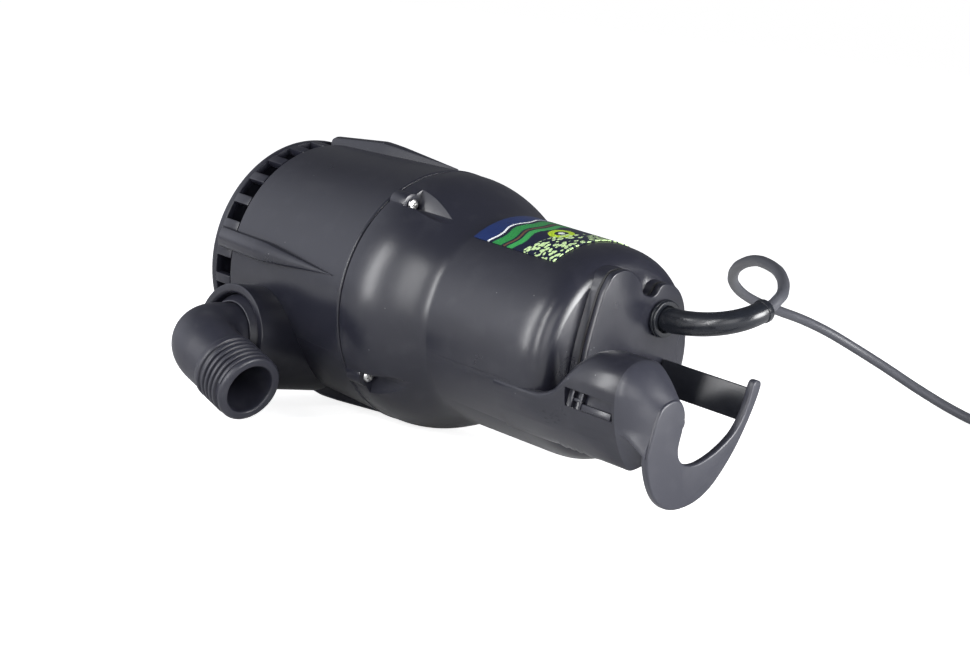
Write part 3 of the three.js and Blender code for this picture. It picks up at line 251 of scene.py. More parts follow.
def prism(outline: Sequence[Pair], start: float, end: float) -> Solid:
    """Extrudes an outline of (y, z) along x."""
    solid = bmesh.new()
    face = solid.faces.new([solid.verts.new((start, y, z)) for y, z in outline])
    grown = bmesh.ops.extrude_face_region(solid, geom=[face])["geom"]
    verts = [item for item in grown if isinstance(item, bmesh.types.BMVert)]
    bmesh.ops.translate(solid, verts=verts, vec=(end - start, 0, 0))
    return cleaned(solid)


def block(low: Triple, high: Triple) -> Solid:
    """A box between two corners."""
    middle = (Vector(low) + Vector(high)) / 2
    size = Vector(high) - Vector(low)
    solid = bmesh.new()
    bmesh.ops.create_cube(solid, size=1, matrix=Matrix.Translation(middle) @ Matrix.Diagonal((*size, 1)))
    return solid


def rod(start: float, end: float, radius: float, steps: int = 40) -> Solid:
    """A round bar along x."""
    return lathe([(start, 0), (start, radius), (end, radius), (end, 0)], steps)


def loft(sections: Sequence[Sequence[Triple]]) -> Solid:
    """Joins closed sections with equal numbers of points, and closes both ends."""
    solid = bmesh.new()
    rings = [[solid.verts.new(point) for point in section] for section in sections]
    for one, two in zip(rings, rings[1:]):
        for k, vert in enumerate(one):
            solid.faces.new((vert, one[k - 1], two[k - 1], two[k]))
    solid.faces.new(rings[0])
    solid.faces.new(rings[-1])
    return cleaned(solid)


def moved(solid: Solid, matrix: Matrix) -> Solid:
    """Applies a matrix to a solid and keeps its faces outwards."""
    bmesh.ops.transform(solid, matrix=matrix, verts=solid.verts)
    if matrix.determinant() < 0:
        bmesh.ops.reverse_faces(solid, faces=solid.faces)
    return solid


def shifted(solid: Solid, x: float, y: float, z: float) -> Solid:
    """Moves a solid."""
    return moved(solid, Matrix.Translation((x, y, z)))


def turned(solid: Solid, angle: float) -> Solid:
    """Turns a solid about the x axis."""
    return moved(solid, Matrix.Rotation(angle, 4, "X"))


def softened(solid: Solid, width: float, segments: int = 2, angle: float = 35) -> Solid:
    """Bevels a solid's sharp edges.

    Args:
        solid: The solid.
        width: The bevel's offset.
        segments: The number of segments.
        angle: The least angle between faces in degrees.

    Returns:
        The same solid.
    """
    limit = math.radians(angle)
    edges = [edge for edge in solid.edges if len(edge.link_faces) == 2 and edge.calc_face_angle(0) > limit]
    bmesh.ops.bevel(solid, geom=edges, offset=width, offset_type="OFFSET", affect="EDGES", segments=segments,
                    profile=0.5, material=-1, clamp_overlap=True)
    return solid


def gathered(*solids: Solid) -> Solid:
    """Puts several solids in one."""
    whole = bmesh.new()
    for solid in solids:
        mesh = as_mesh(solid, "part")
        whole.from_mesh(mesh)
        bpy.data.meshes.remove(mesh)
    return whole


def carved(solid: Solid, tools: Sequence[Solid], kind: Cut) -> Solid:
    """Joins a solid with others, or cuts it with them, one after another."""
    for tool in tools:
        things = [linked("carving", as_mesh(part, "carving")) for part in (solid, tool)]
        modifier = things[0].modifiers.new("cut", "BOOLEAN")
        modifier.operation = kind.value
        modifier.solver = "EXACT"
        modifier.object = things[1]
        bpy.context.view_layer.update()
        evaluated = things[0].evaluated_get(bpy.context.evaluated_depsgraph_get())
        solid = bmesh.new()
        solid.from_mesh(evaluated.to_mesh())
        evaluated.to_mesh_clear()
        for thing in things:
            mesh = thing.data
            bpy.data.objects.remove(thing)
            bpy.data.meshes.remove(mesh)
    bmesh.ops.dissolve_limit(solid, angle_limit=math.radians(0.4), verts=solid.verts, edges=solid.edges)
    return cleaned(solid)


# Node groups and finishes


class Wiring:
    """Adds nodes to a tree with fewer words."""

    SIGNS = {"+": "ADD", "-": "SUBTRACT", "*": "MULTIPLY", "<": "LESS_THAN", ">": "GREATER_THAN"}
    KINDS = {type(None): "NodeSocketVector", tuple: "NodeSocketColor", float: "NodeSocketFloat"}

    def __init__(self, tree: bpy.types.NodeTree) -> None:
        """Keeps the tree."""
        self.tree = tree

    @classmethod
    def group(cls, name: str, inputs: dict[str, object], outputs: dict[str, object]) -> "Wiring":
        """Starts a node group, whose sockets take their kinds from the values given."""
        tree = bpy.data.node_groups.new(name, "ShaderNodeTree")
        for side, sockets in (("INPUT", inputs), ("OUTPUT", outputs)):
            for label, value in sockets.items():
                socket = tree.interface.new_socket(label, in_out=side, socket_type=cls.KINDS[type(value)])
                if value is not None and side == "INPUT":
                    socket.default_value = value
        tree.nodes.new("NodeGroupInput").name = "In"
        tree.nodes.new("NodeGroupOutput").name = "Out"
        return cls(tree)

    @classmethod
    def material(cls, name: str) -> tuple[bpy.types.Material, "Wiring"]:
        """Starts a material."""
        material = bpy.data.materials.new(name)
        material.use_nodes = True
        return material, cls(material.node_tree)

    def node(self, kind: str, settings: Optional[dict] = None, **links: object) -> bpy.types.Node:
        """Adds a node.

        Args:
            kind: The node's type.
            settings: Its properties by name, and inputs by number.
            links: Sockets or values for its inputs, with _ for a space.

        Returns:
            The node.
        """
        node = self.tree.nodes.new(kind)
        for key, value in (settings or {}).items():
            if isinstance(key, int):
                self.feed(node.inputs[key], value)
            else:
                setattr(node, key, value)
        for key, value in links.items():
            self.feed(node.inputs[key.replace("_", " ")], value)
        return node

    def feed(self, socket: Socket, value: object) -> None:
        """Links a socket to another, or sets its value."""
        if isinstance(value, Socket):
            self.tree.links.new(value, socket)
        else:
            socket.default_value = value

    def math(self, a: object, sign: str, b: object = 0.0, clamp: bool = False) -> Socket:
        """A math node's output."""
        settings = {"operation": self.SIGNS.get(sign, sign), "use_clamp": clamp, 0: a, 1: b}
        return self.node("ShaderNodeMath", settings).outputs[0]

    def vector(self, operation: str, a: Socket, b: Triple) -> bpy.types.Node:
        """A vector math node."""
        return self.node("ShaderNodeVectorMath", {"operation": operation, 0: a, 1: b})

    def blend(self, share: object, a: object, b: object) -> Socket:
        """The mix of two colours."""
        return self.node("ShaderNodeMix", {"data_type": "RGBA", 0: share, 6: a, 7: b}).outputs[2]

    def noise(self, where: Socket, scale: object, detail: float) -> Socket:
        """A noise texture's value."""
        return self.node("ShaderNodeTexNoise", Vector=where, Scale=scale, Detail=detail).outputs["Fac"]


def surface_group() -> bpy.types.NodeTree:
    """Moulding grain, faint mottling, rubbed patches and dust that all finishes share."""
    grey = (0.3, 0.3, 0.3, 1)
    wire = Wiring.group("moulded_surface", {
        "Vector": None, "Colour": grey, "Dust colour": grey, "Mottle": 0.2, "Dust": 0.2, "Roughness": 0.45,
        "Grain scale": 1400.0, "Rub": 0.1}, {"Colour": grey, "Roughness": 0.0, "Height": 0.0})
    given, out = wire.tree.nodes["In"].outputs, wire.tree.nodes["Out"].inputs
    where, mottle, dust_colour = given["Vector"], given["Mottle"], given["Dust colour"]
    broad = wire.noise(where, 22.0, 4.0)
    fine = wire.noise(where, given["Grain scale"], 2.0)
    worn = wire.noise(where, 75.0, 6.0)
    cells = wire.node("ShaderNodeTexVoronoi", Vector=where, Scale=260.0)
    draw = wire.node("ShaderNodeSeparateColor", Color=cells.outputs["Color"]).outputs[0]
    chosen = wire.math(draw, ">", 0.965)
    near = wire.math(cells.outputs["Distance"], "<", 0.1)
    speck = wire.math(wire.math(chosen, "*", near), "*", given["Dust"])
    lift = wire.math(wire.math(broad, "-", 0.5), "*", mottle)
    grain = wire.math(wire.math(fine, "-", 0.5), "*", wire.math(mottle, "*", 0.8))
    level = wire.math(1.0, "+", wire.math(lift, "+", grain))
    tinted = wire.node("ShaderNodeVectorMath", {"operation": "SCALE"}, Vector=given["Colour"], Scale=level)
    dulled = wire.math(wire.math(worn, "-", 0.52, clamp=True), "*", given["Rub"])
    dusty = wire.blend(wire.math(dulled, "*", 1.6, clamp=True), tinted.outputs[0], dust_colour)
    rougher = wire.math(wire.math(dulled, "*", 0.5), "+", wire.math(lift, "*", 0.15))
    wire.feed(out["Colour"], wire.blend(speck, dusty, dust_colour))
    wire.feed(out["Roughness"], wire.math(given["Roughness"], "+", rougher, clamp=True))
    wire.feed(out["Height"], wire.math(fine, "+", speck))
    return wire.tree


@dataclass(frozen=True)
class Finish:
    """A material's colour, gloss and wear."""

    name: str
    colour: Triple
    roughness: float = 0.45
    metallic: float = 0.0
    dust: float = 0.0
    rub: float = 0.12
    mottle: float = 0.25
    dust_colour: Triple = (0.32, 0.32, 0.33)
    grain_scale: float = 1500.0
    grain_depth: float = 0.05

    def material(self) -> bpy.types.Material:
        """Builds the material once, and returns it."""
        if self.name in bpy.data.materials:
            return bpy.data.materials[self.name]
        material, wire = Wiring.material(self.name)
        shader = wire.tree.nodes["Principled BSDF"].inputs
        where = wire.node("ShaderNodeTexCoord").outputs["Object"]
        surface = wire.node("ShaderNodeGroup", {"node_tree": SURFACE}, Vector=where, Colour=(*self.colour, 1),
                            Dust_colour=(*self.dust_colour, 1), Mottle=self.mottle, Dust=self.dust,
                            Roughness=self.roughness, Grain_scale=self.grain_scale, Rub=self.rub)
        bump = wire.node("ShaderNodeBump", Strength=0.6, Distance=self.grain_depth * MM,
                         Height=surface.outputs["Height"])
        wire.feed(shader["Base Color"], surface.outputs["Colour"])
        wire.feed(shader["Roughness"], surface.outputs["Roughness"])
        wire.feed(shader["Normal"], bump.outputs[0])
        shader["Metallic"].default_value = self.metallic
        return material


SURFACE = surface_group()
HOUSING = Finish("black_moulding", (0.0125, 0.013, 0.02), 0.28, dust=0.3, rub=0.055)
ELBOW_PLASTIC = Finish("elbow_moulding", (0.017, 0.0175, 0.0265), 0.4, dust=0.25)
GRIP = Finish("grip_moulding", (0.027, 0.028, 0.0385), 0.38, dust=0.15, rub=0.08)
# The strap's colour is darker than the grip's: painted shade for the shade inside the handle's loop, on the
# same black moulding.
STRAP_PAINTED_SHADE = Finish("glossy_moulding_painted_shade", (0.009, 0.010, 0.014), 0.3, dust=0.1, rub=0.05)
RELIEF = Finish("glossy_rubber", (0.009, 0.0105, 0.0145), 0.26, dust=0.15)
SHEATH = Finish("cord_sheath", (0.055, 0.057, 0.068), 0.45, dust=0.1, rub=0.1, grain_scale=2200)
RUBBER = Finish("dull_rubber", (0.014, 0.014, 0.0145), 0.6, dust=0.1)
ZINC = Finish("bright_zinc", (0.7, 0.7, 0.69), 0.28, 1.0, dust=0.1, rub=0.3, dust_colour=(0.4, 0.4, 0.4))
STEEL = Finish("motor_steel", (0.42, 0.42, 0.43), 0.38, 1.0)
ALLOY = Finish("cast_alloy", (0.55, 0.56, 0.57), 0.5, 1.0, grain_scale=900, grain_depth=0.12)
COPPER = Finish("wound_copper", (0.52, 0.2, 0.075), 0.4, 0.9, grain_scale=1100, grain_depth=0.2)
CERAMIC = Finish("seal_ceramic", (0.72, 0.69, 0.63), 0.25)
PALE = Finish("pale_plastic", (0.62, 0.63, 0.6))
PIN = Finish("plated_pin", (0.68, 0.6, 0.42), 0.22, 1.0)


# Putting pieces in the scene


class Bench:
    """Places finished solids in the row's frame and reports them."""

    def __init__(self) -> None:
        """Finds the pump's frame."""
        self.lay = pump_frame()
        self.floor = Matrix.Scale(MM, 4)

    def place(self, name: str, solid: Solid, finish: Finish, nodes: Sequence[str], body: Body = Body.PUMP,
              lay: Optional[Matrix] = None) -> bpy.types.Object:
        """Makes a piece from a solid.

        Args:
            name: The piece's name.
            solid: The solid in millimetres.
            finish: Its finish.
            nodes: The CAD nodes that it stands for.
            body: The body that it rides on.
            lay: The matrix that places it, the pump's own if none is given.

        Returns:
            The piece's object.
        """
        mesh = as_mesh(moved(solid, lay or self.lay), name)
        mesh.shade_smooth()
        mesh.set_sharp_from_angle(angle=math.radians(32))
        mesh.materials.append(finish.material())
        piece = linked(name, mesh)
        self.settle(piece, nodes, body)
        return piece

    def settle(self, piece: bpy.types.Object, nodes: Sequence[str], body: Body) -> None:
        """Makes a piece ride on a body and stand for CAD nodes, which it hides."""
        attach(piece, body.value)
        if nodes:
            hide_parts(*nodes)
        LOG.info("%s stands for %s", piece.name, ", ".join(nodes) or "nothing")


# Lower housing, screws and strainer


@dataclass
class Outlet:
    """The outlet boss beside the casing, the elbow and its thread."""

    boss_turn: float = math.radians(95)
    boss_drop: float = 77.0
    boss_offset: float = 46.2
    boss_reach: float = 90.6
    boss_radius: float = 31.5
    boss_draft: float = 0.4
    socket_bore: float = 26.0
    socket_depth: float = 14.0
    socket_chamfer: Pair = (1.6, 1.4)
    bore: float = 18.8
    swivel: float = math.radians(15.5)
    rise: float = 29.0
    reach: float = 66.5
    bend: float = 24.0
    bend_steps: int = 20
    radius: float = 19.8
    inside: float = 15.0
    nose: float = 15.9
    nose_length: float = 13.0
    collar: float = 23.5
    collar_height: float = 4.0
    lock_height: float = 5.0
    lock_cone: float = 5.2
    lock_lip: float = 0.9
    crest: float = 20.9
    crest_fall: float = 0.2
    root: float = 19.3
    pitch: float = 4.0
    turns: int = 5
    thread_start: float = 3.7
    thread_steps: int = 60
    lip: float = 3.6
    lip_fall: float = 0.4
    shoulder: float = 2.6
    rounding: float = 0.7

    def axis(self) -> Vector:
        """The boss's own direction."""
        return Vector((0, math.cos(self.boss_turn), math.sin(self.boss_turn)))

    def side(self) -> Vector:
        """The direction across the boss and the pump's axis."""
        return Vector((0, -math.sin(self.boss_turn), math.cos(self.boss_turn)))

    def origin(self) -> Vector:
        """Where the boss's axis starts, beside the pump's axis."""
        return Vector((-self.boss_drop, 0, 0)) + self.side() * self.boss_offset

    def on_boss(self, solid: Solid) -> Solid:
        """Carries a solid drawn about x to the boss's axis."""
        return moved(solid, basis(self.axis(), Vector((1, 0, 0)), self.origin()))

    def boss(self) -> Solid:
        """The outlet boss with its socket."""
        foot, top, radius = self.boss_reach / 4, self.boss_reach, self.boss_radius
        socket, wide = top - self.socket_depth, self.socket_bore
        deep, across = self.socket_chamfer
        return self.on_boss(lathe(rounded([
            (foot, self.bore), (foot, radius - self.boss_draft), (top, radius), (top, wide + across),
            (top - deep, wide), (socket, wide), (socket, self.bore), (foot, self.bore)], self.rounding)))

    def elbow(self) -> Solid:
        """The elbow with its collar, bend and threaded mouth, bored through."""
        low = self.boss_reach - self.socket_depth + GAP
        start = self.boss_reach + self.rise - self.bend
        nose, collar = low - self.nose_length, low + self.collar_height
        stem = self.on_boss(lathe(rounded([
            (start, self.inside), (nose, self.inside), (nose, self.nose), (low, self.nose),
            (low, self.collar), (collar, self.collar), (collar, self.radius), (start, self.radius)], 0.5)))
        axis, out = self.axis(), Vector((math.cos(self.swivel), 0, 0)) + self.side() * math.sin(self.swivel)
        corner = self.origin() + axis * (self.boss_reach + self.rise)
        bend = bmesh.new()
        for radius in (self.radius, self.inside):
            bmesh.ops.create_circle(bend, segments=96, radius=radius, cap_ends=False)
        toward = basis(axis, Vector((1, 0, 0)), corner - axis * self.bend)
        moved(bend, toward @ Matrix.Rotation(TAU / 4, 4, "Y"))
        bmesh.ops.bridge_loops(bend, edges=bend.edges[:])
        bmesh.ops.spin(bend, geom=bend.faces[:] + bend.edges[:] + bend.verts[:], axis=axis.cross(out),
                       cent=corner - axis * self.bend + out * self.bend, angle=TAU / 4, steps=self.bend_steps)
        lip, end = self.reach - self.lip, self.reach
        first = lip - self.turns * self.pitch - 0.4
        crest, fall, shoulder = self.crest, self.lip_fall, first - self.shoulder
        limb = lathe(rounded([
            (self.bend, self.radius), (shoulder - self.shoulder, self.radius), (shoulder, crest),
            (first - 0.2, crest), (first + 0.3, self.root), (lip, self.root), (lip + fall, crest - fall),
            (end - 1.2, crest - fall), (end, crest - 1.5), (end, self.inside + 0.8), (end - 0.8, self.inside),
            (self.bend, self.inside)], self.rounding))
        thread = turned(self.thread(first), self.thread_start)
        return gathered(stem, cleaned(bend), moved(gathered(limb, thread), basis(out, axis, corner)))

    def thread(self, start: float) -> Solid:
        """The thread's ridge, spun as a helix."""
        low, high, crest = self.root - 0.5, self.crest - self.crest_fall, self.crest
        ridge = [(start + x, radius) for x, radius in (
            (0.2, low), (1.1, high), (1.5, crest), (2.5, crest), (2.9, high), (3.8, low))]
        turns = self.turns - 0.6
        steps = self.thread_steps
        return spun(ridge, True, TAU * turns, int(steps * turns), self.pitch / steps)

    def lock_ring(self) -> Solid:
        """The ring with a conical face that holds the elbow in its socket."""
        low = self.boss_reach - self.socket_depth + self.collar_height + 2 * GAP
        high = low + self.lock_height
        inner, outer = self.radius + 2 * GAP, self.socket_bore - GAP
        end = high + self.lock_cone
        return self.on_boss(lathe(rounded([
            (low, inner), (low, outer), (high - 1.6, outer), (high - 0.8, outer - 0.7),
            (end, inner + self.lock_lip), (end, inner), (low, inner)], 0.5)))

    def build(self, bench: Bench) -> None:
        """Makes the elbow and its lock ring."""
        bench.place("outlet_elbow", self.elbow(), ELBOW_PLASTIC, ["discharge_elbow"], Body.ELBOW)
        bench.place("lock_ring", self.lock_ring(), ELBOW_PLASTIC, ["elbow_lock_ring"])


def mould_lines(ends: Sequence[Pair], angles: Sequence[float]) -> list[Solid]:
    """Faint raised lines along a turned surface, where the halves of the mould met.

    Args:
        ends: The two ends of each line as (x, radius).
        angles: Where the lines run, about the axis.

    Returns:
        The lines.
    """
    proud, sunk, width = 0.13, 0.5, 0.7
    (start, low), (end, high) = ends
    profile = [(start, low - sunk), (start, low + proud), (end, high + proud), (end, high - sunk),
               (start, low - sunk)]
    return [turned(lathe(profile, 2, width / max(low, high)), angle) for angle in angles]


@dataclass
class Casing:
    """The lower housing with its four screw fairings and the outlet boss."""

    seam_radius: float = 77.0
    length: float = 112.4
    base_radius: float = 72.0
    base_rounding: float = 1.2
    bead: float = 0.35
    wall: float = 3.2
    floor: float = 4.0
    eye: float = 24.0
    seat: float = 66.4
    ledge_depth: float = 12.0
    ledge_bore: float = 62.0
    fairing_width: float = 12.3
    fairing_drop: float = 10.6
    fairing_straight: float = 48.5
    fairing_tip: float = 11.0
    fairing_base: float = 76.4
    fairing_peak: float = 82.0
    fairing_top: float = 77.2
    fairing_depth: float = 15.0
    fairing_crown: float = 3.0
    tower_screw: float = 66.2
    mould_ends: Pair = (8.0, 14.0)
    mould_angles: Triple = (2.19, 3.77, 5.67)

    def radius_at(self, x: float) -> float:
        """The casing's outer radius."""
        return self.seam_radius + (self.seam_radius - self.base_radius) * x / self.length

    def shell(self) -> Solid:
        """The turned shell, with a bead at the seam."""
        low, ledge, proud = -self.length, -self.ledge_depth, self.seam_radius + self.bead
        inner = self.base_radius - self.wall
        profile = [
            (low, self.eye), (low, self.base_radius - self.base_rounding),
            (low + self.base_rounding, self.base_radius), (-2.6, self.radius_at(-2.6)), (-2.3, proud),
            (-0.5, proud), (0, self.seam_radius - 0.6), (0, self.seat), (ledge, self.seat),
            (ledge, self.ledge_bore), (low + self.floor, inner - 0.5), (low + self.floor, self.eye),
            (low, self.eye)]
        return lathe(rounded(profile, 0.6), 144)

    def fairing(self) -> Solid:
        """One screw fairing: a round-backed bar that narrows to a point near the seam."""
        low = -self.length - self.fairing_drop
        straight = low + self.fairing_straight
        tip = -self.fairing_tip
        base, peak, top = self.fairing_base, self.fairing_peak, self.fairing_top
        half, foot = self.fairing_width / 2, base - self.fairing_depth
        stations = [(low, 1.0, -0.6), (low + 1.2, 1.0, 0.0), (straight - 8, 1.0, 0.0),
                    (straight - 3, 1.0, 0.0), (straight + 3, 0.96, -0.3)]
        stations += [(straight + (tip - straight) * share, 1 - share, 0.0)
                     for share in (0.2, 0.4, 0.6, 0.8, 0.93)]
        sections = []
        for x, width, drop in [*stations, (tip, 0.03, 0.0)]:
            if x < straight:
                crest = base + (peak - base) * (x - low) / (straight - low)
            else:
                crest = peak + (top - peak) * (x - straight) / (tip - straight)
            crest += drop
            crown = min(self.fairing_crown, half * width * 0.5)
            arc = [(x, crest - crown * (1 - math.cos(turn)), half * width * math.sin(turn))
                   for turn in (math.radians(a) for a in (-90, -66, -40, -14, 14, 40, 66, 90))]
            sections.append([(x, foot, -half * width), *arc, (x, foot, half * width)])
        return loft(sections)

    def build(self, bench: Bench) -> None:
        """Makes the casing."""
        fairings = [turned(self.fairing(), angle) for angle in QUARTERS]
        above_foot, under_seam = self.mould_ends
        ends = [(x, self.radius_at(x)) for x in (above_foot - self.length, -under_seam)]
        lines = mould_lines(ends, self.mould_angles)
        casing = gathered(self.shell(), Outlet().boss(), *fairings, *lines)
        bench.place("volute_shell", casing, HOUSING, ["volute_casing"])


@dataclass
class Screws:
    """Pan head screws with a cross recess."""

    head: float = 3.45
    height: float = 2.4
    shank: float = 1.9
    slot: float = 1.0
    slot_length: float = 2.1
    depth: float = 1.3
    seam_length: float = 24.0
    base_length: float = 19.0
    seam_spot: float = 73.2 * DIAGONAL
    pocket_floor: float = 13.0
    first_twist: float = 0.5
    next_twist: float = 1.7

    def screw(self, length: float) -> Solid:
        """One screw with its head's seat at x = 0."""
        head, height = self.head, self.height
        crown = [(height * x, head * r) for x, r in ((0.45, 1), (0.72, 0.9), (0.9, 0.68), (1, 0.4), (1, 0))]
        body = lathe([(-length, 0), (-length, self.shank), (0, self.shank), (0, head - 0.15), (0.15, head),
                      *crown], 40)
        half, long = self.slot / 2, self.slot * self.slot_length
        low = height - self.depth
        arms = [block((low, -a, -b), (height + 1, a, b)) for a, b in ((half, long), (long, half))]
        return carved(body, arms, Cut.DIFFERENCE)

    def build(self, bench: Bench) -> None:
        """Makes the eight screws, each turned by its own angle."""
        seat, spot = self.pocket_floor + GAP, self.seam_spot
        for k, angle in enumerate(QUARTERS, start=1):
            twist = Matrix.Rotation(self.first_twist + self.next_twist * k, 4, "X")
            upper = shifted(moved(self.screw(self.seam_length), twist), seat, spot, spot)
            bench.place(f"seam_screw_{k}", turned(upper, angle), ZINC, [f"housing_screw_{k}"])
            lower = moved(self.screw(self.base_length), Matrix.Rotation(math.pi, 4, "Z") @ twist)
            shifted(lower, Strainer.bottom + self.height, Casing.tower_screw, 0)
            bench.place(f"foot_screw_{k}", turned(lower, angle), ZINC, [f"base_screw_{k}"])


@dataclass
class Strainer:
    """The strainer foot: a floor, a low rim and ribs with slots between them."""

    bottom: float = -131.2
    top: float = -112.7
    radius: float = 71.5
    wall: float = 4.5
    floor: float = 3.6
    sill: float = 4.9
    positions: int = 26
    slot: float = math.radians(9)
    post: float = 6.1
    post_inset: float = 1.2

    def build(self, bench: Bench) -> None:
        """Makes the strainer."""
        low, outer, inner = self.bottom, self.radius, self.radius - self.wall
        level, floor, seat = low + self.sill, low + self.floor, low + Screws.height
        cup = lathe(rounded([
            (low, 0), (low, outer), (level, outer), (level, inner), (floor, inner), (floor, 0)], 0.9), 144)
        bores, posts = [], []
        for angle in QUARTERS:
            bore = rod(low - 1, seat + GAP, Screws.head + GAP)
            bores.append(turned(shifted(bore, 0, Casing.tower_screw, 0), angle))
            post = rod(seat + 0.4, -Casing.length - Casing.fairing_drop - 0.4, self.post, 32)
            shifted(softened(post, 0.5), 0, Casing.tower_screw - self.post_inset, 0)
            posts.append(turned(post, angle))
        parts = [carved(cup, bores, Cut.DIFFERENCE), *posts]
        for k in range(self.positions):
            rib = lathe([(level - 1, inner), (level - 1, outer), (self.top, outer), (self.top, inner),
                         (level - 1, inner)], 4, TAU / self.positions - self.slot)
            start = TAU / 4 + TAU * k / self.positions + self.slot / 2
            parts.append(turned(softened(rib, 0.4, 2, 50), start))
        bench.place("strainer_foot", gathered(*parts), HOUSING, ["strainer_base"])


# Upper housing


PLATE_SHARES = [
    (0.06, 0.762), (0.63, 0.752), (0.8, 0.72), (0.922, 0.668), (0.988, 0.562), (1.012, 0.44), (0.974, 0.308),
    (0.9, 0.194), (0.796, 0.12), (0.782, -0.022), (0.826, -0.09), (0.924, -0.136), (0.964, -0.258),
    (0.928, -0.41), (0.83, -0.536), (0.702, -0.622), (0.532, -0.674), (0.412, -0.652), (0.25, -0.66),
    (0, -0.78), (-0.34, -0.78), (-0.64, -0.62), (-0.84, -0.34), (-0.88, 0), (-0.8, 0.34), (-0.6, 0.62),
    (-0.4, 0.7)]
PLATE_OUTLINE = smooth([(y * 50, z * 50) for y, z in PLATE_SHARES])
TOWER_SHARES = [
    (-0.6, 0.43), (-0.3, 0.435), (-0.07, 0.44), (0.07, 0.47), (0.2, 0.55), (0.31, 0.7), (0.41, 0.85),
    (0.52, 0.96), (0.64, 1.0), (1.0, 1.0)]
SWAP = Matrix(((1, 0, 0, 0), (0, 0, 1, 0), (0, 1, 0, 0), (0, 0, 0, 1)))


@dataclass
class UpperHousing:
    """The motor housing with its dome, corner pockets, pillar and tower."""

    dome_radius: float = 77.0
    dome_straight: float = 8.0
    dome_end: float = 62.0
    dome_pulls: Pair = (26.0, 12.0)
    motor_radius: float = 62.0
    shoulder_start: float = 131.0
    shoulder_top: float = 154.0
    shoulder_radius: float = 51.4
    shoulder_pulls: Triple = (14.0, 2.5, 8.0)
    pillar_low: float = 139.0
    pillar_top: float = 158.9
    pocket_y: float = 50.0
    pocket_z: float = 46.2
    pocket_end: float = 66.0
    ear: float = 6.1
    recess: float = 4.9
    edge: float = 21.0
    edge_low: float = 5.0
    edge_shares: Triple = (0.4, 0.03, 0.4)
    tower_foot: float = -26.0
    tower_radius: float = 63.0
    tower_inner: float = 36.0
    tower_low: float = -52.0
    tower_high: float = 9.5
    tower_end: float = 213.6
    outside: float = 80.0
    mould_angles: Triple = (1.99, 3.57, 5.17)

    def shell(self) -> Solid:
        """The turned outside, solid within."""
        wide, motor, top = self.dome_radius, self.motor_radius, self.shoulder_top
        start, end = self.dome_straight, self.dome_end
        one, two = self.dome_pulls
        dome = bezier([(start, wide), (start + one, wide), (end - two, motor), (end, motor)], 26)
        one, two, over = self.shoulder_pulls
        shoulder = bezier([(self.shoulder_start, motor), (self.shoulder_start + one, motor),
                           (top - two, self.shoulder_radius + over), (top, self.shoulder_radius)], 18)
        return lathe([(GAP, 0), (GAP, wide - 0.8), (GAP + 0.8, wide), *dome, *shoulder, (top, 0)], 144)

    def tower_section(self, high: float) -> list[Pair]:
        """The tower's section in y and z where its top lies at a height, with a broadly rounded corner."""
        share = (high - self.tower_foot) / (self.tower_high - self.tower_foot)
        reach = self.edge_low + (self.edge - self.edge_low) * share
        radius = self.tower_radius
        first = -math.acos(self.tower_inner / radius)
        last = math.asin((high - reach) / radius)
        arc = [first + (last - first) * k / 36 for k in range(37)]
        corner = math.sqrt(radius ** 2 - high ** 2)
        line = [(radius * math.sin(a), radius * math.cos(a)) for a in arc]
        back, lift, down = (part * reach for part in self.edge_shares)
        pulls = [(high - back, corner + lift), (high, corner - down)]
        line += bezier([line[-1], *pulls, (high, corner - reach)], 12)[1:]
        return spread([*line, (high, self.tower_inner)])

    def tower(self) -> Solid:
        """The tower that carries the handle: its top sweeps up from the shoulder."""
        reach = self.tower_end - self.shoulder_top
        rise = self.tower_high - self.tower_low
        tops = [(self.shoulder_top + x * reach, self.tower_low + y * rise) for x, y in TOWER_SHARES]
        tops = [tops[0], *smooth(tops[1:-1], closed=False), tops[-1]]
        return loft([[(x, y, z) for y, z in self.tower_section(high)] for x, high in tops])

    def build(self, bench: Bench) -> None:
        """Makes the housing."""
        spot, floor = Screws.seam_spot, Screws.pocket_floor
        cutters, ears = [], []
        for k, angle in enumerate(QUARTERS):
            pocket = block((floor, self.pocket_y, self.pocket_z),
                           (self.pocket_end, self.outside, self.outside))
            cutters.append(turned(moved(pocket, SWAP) if k % 2 else pocket, angle))
            cutters.append(turned(shifted(rod(floor, self.dome_end, self.recess), 0, spot, spot), angle))
            ears.append(turned(shifted(rod(0.4, floor, self.ear), 0, spot, spot), angle))
        clip = UnderClip()
        shell = carved(self.shell(), [self.tower()], Cut.UNION)
        shell = carved(shell, [*ears, prism(PLATE_OUTLINE, self.pillar_low, self.pillar_top)], Cut.UNION)
        shell = carved(shell, [*cutters, clip.pocket()], Cut.DIFFERENCE)
        softened(shell, 0.55, 2, 38)
        ends = [(self.pocket_end, self.motor_radius), (self.shoulder_start, self.motor_radius)]
        lines = mould_lines(ends, self.mould_angles)
        bench.place("upper_shell", gathered(shell, *lines), HOUSING, ["motor_housing"])
        bench.place("float_clip", clip.solid(), HOUSING, ["float_cord_clip"])


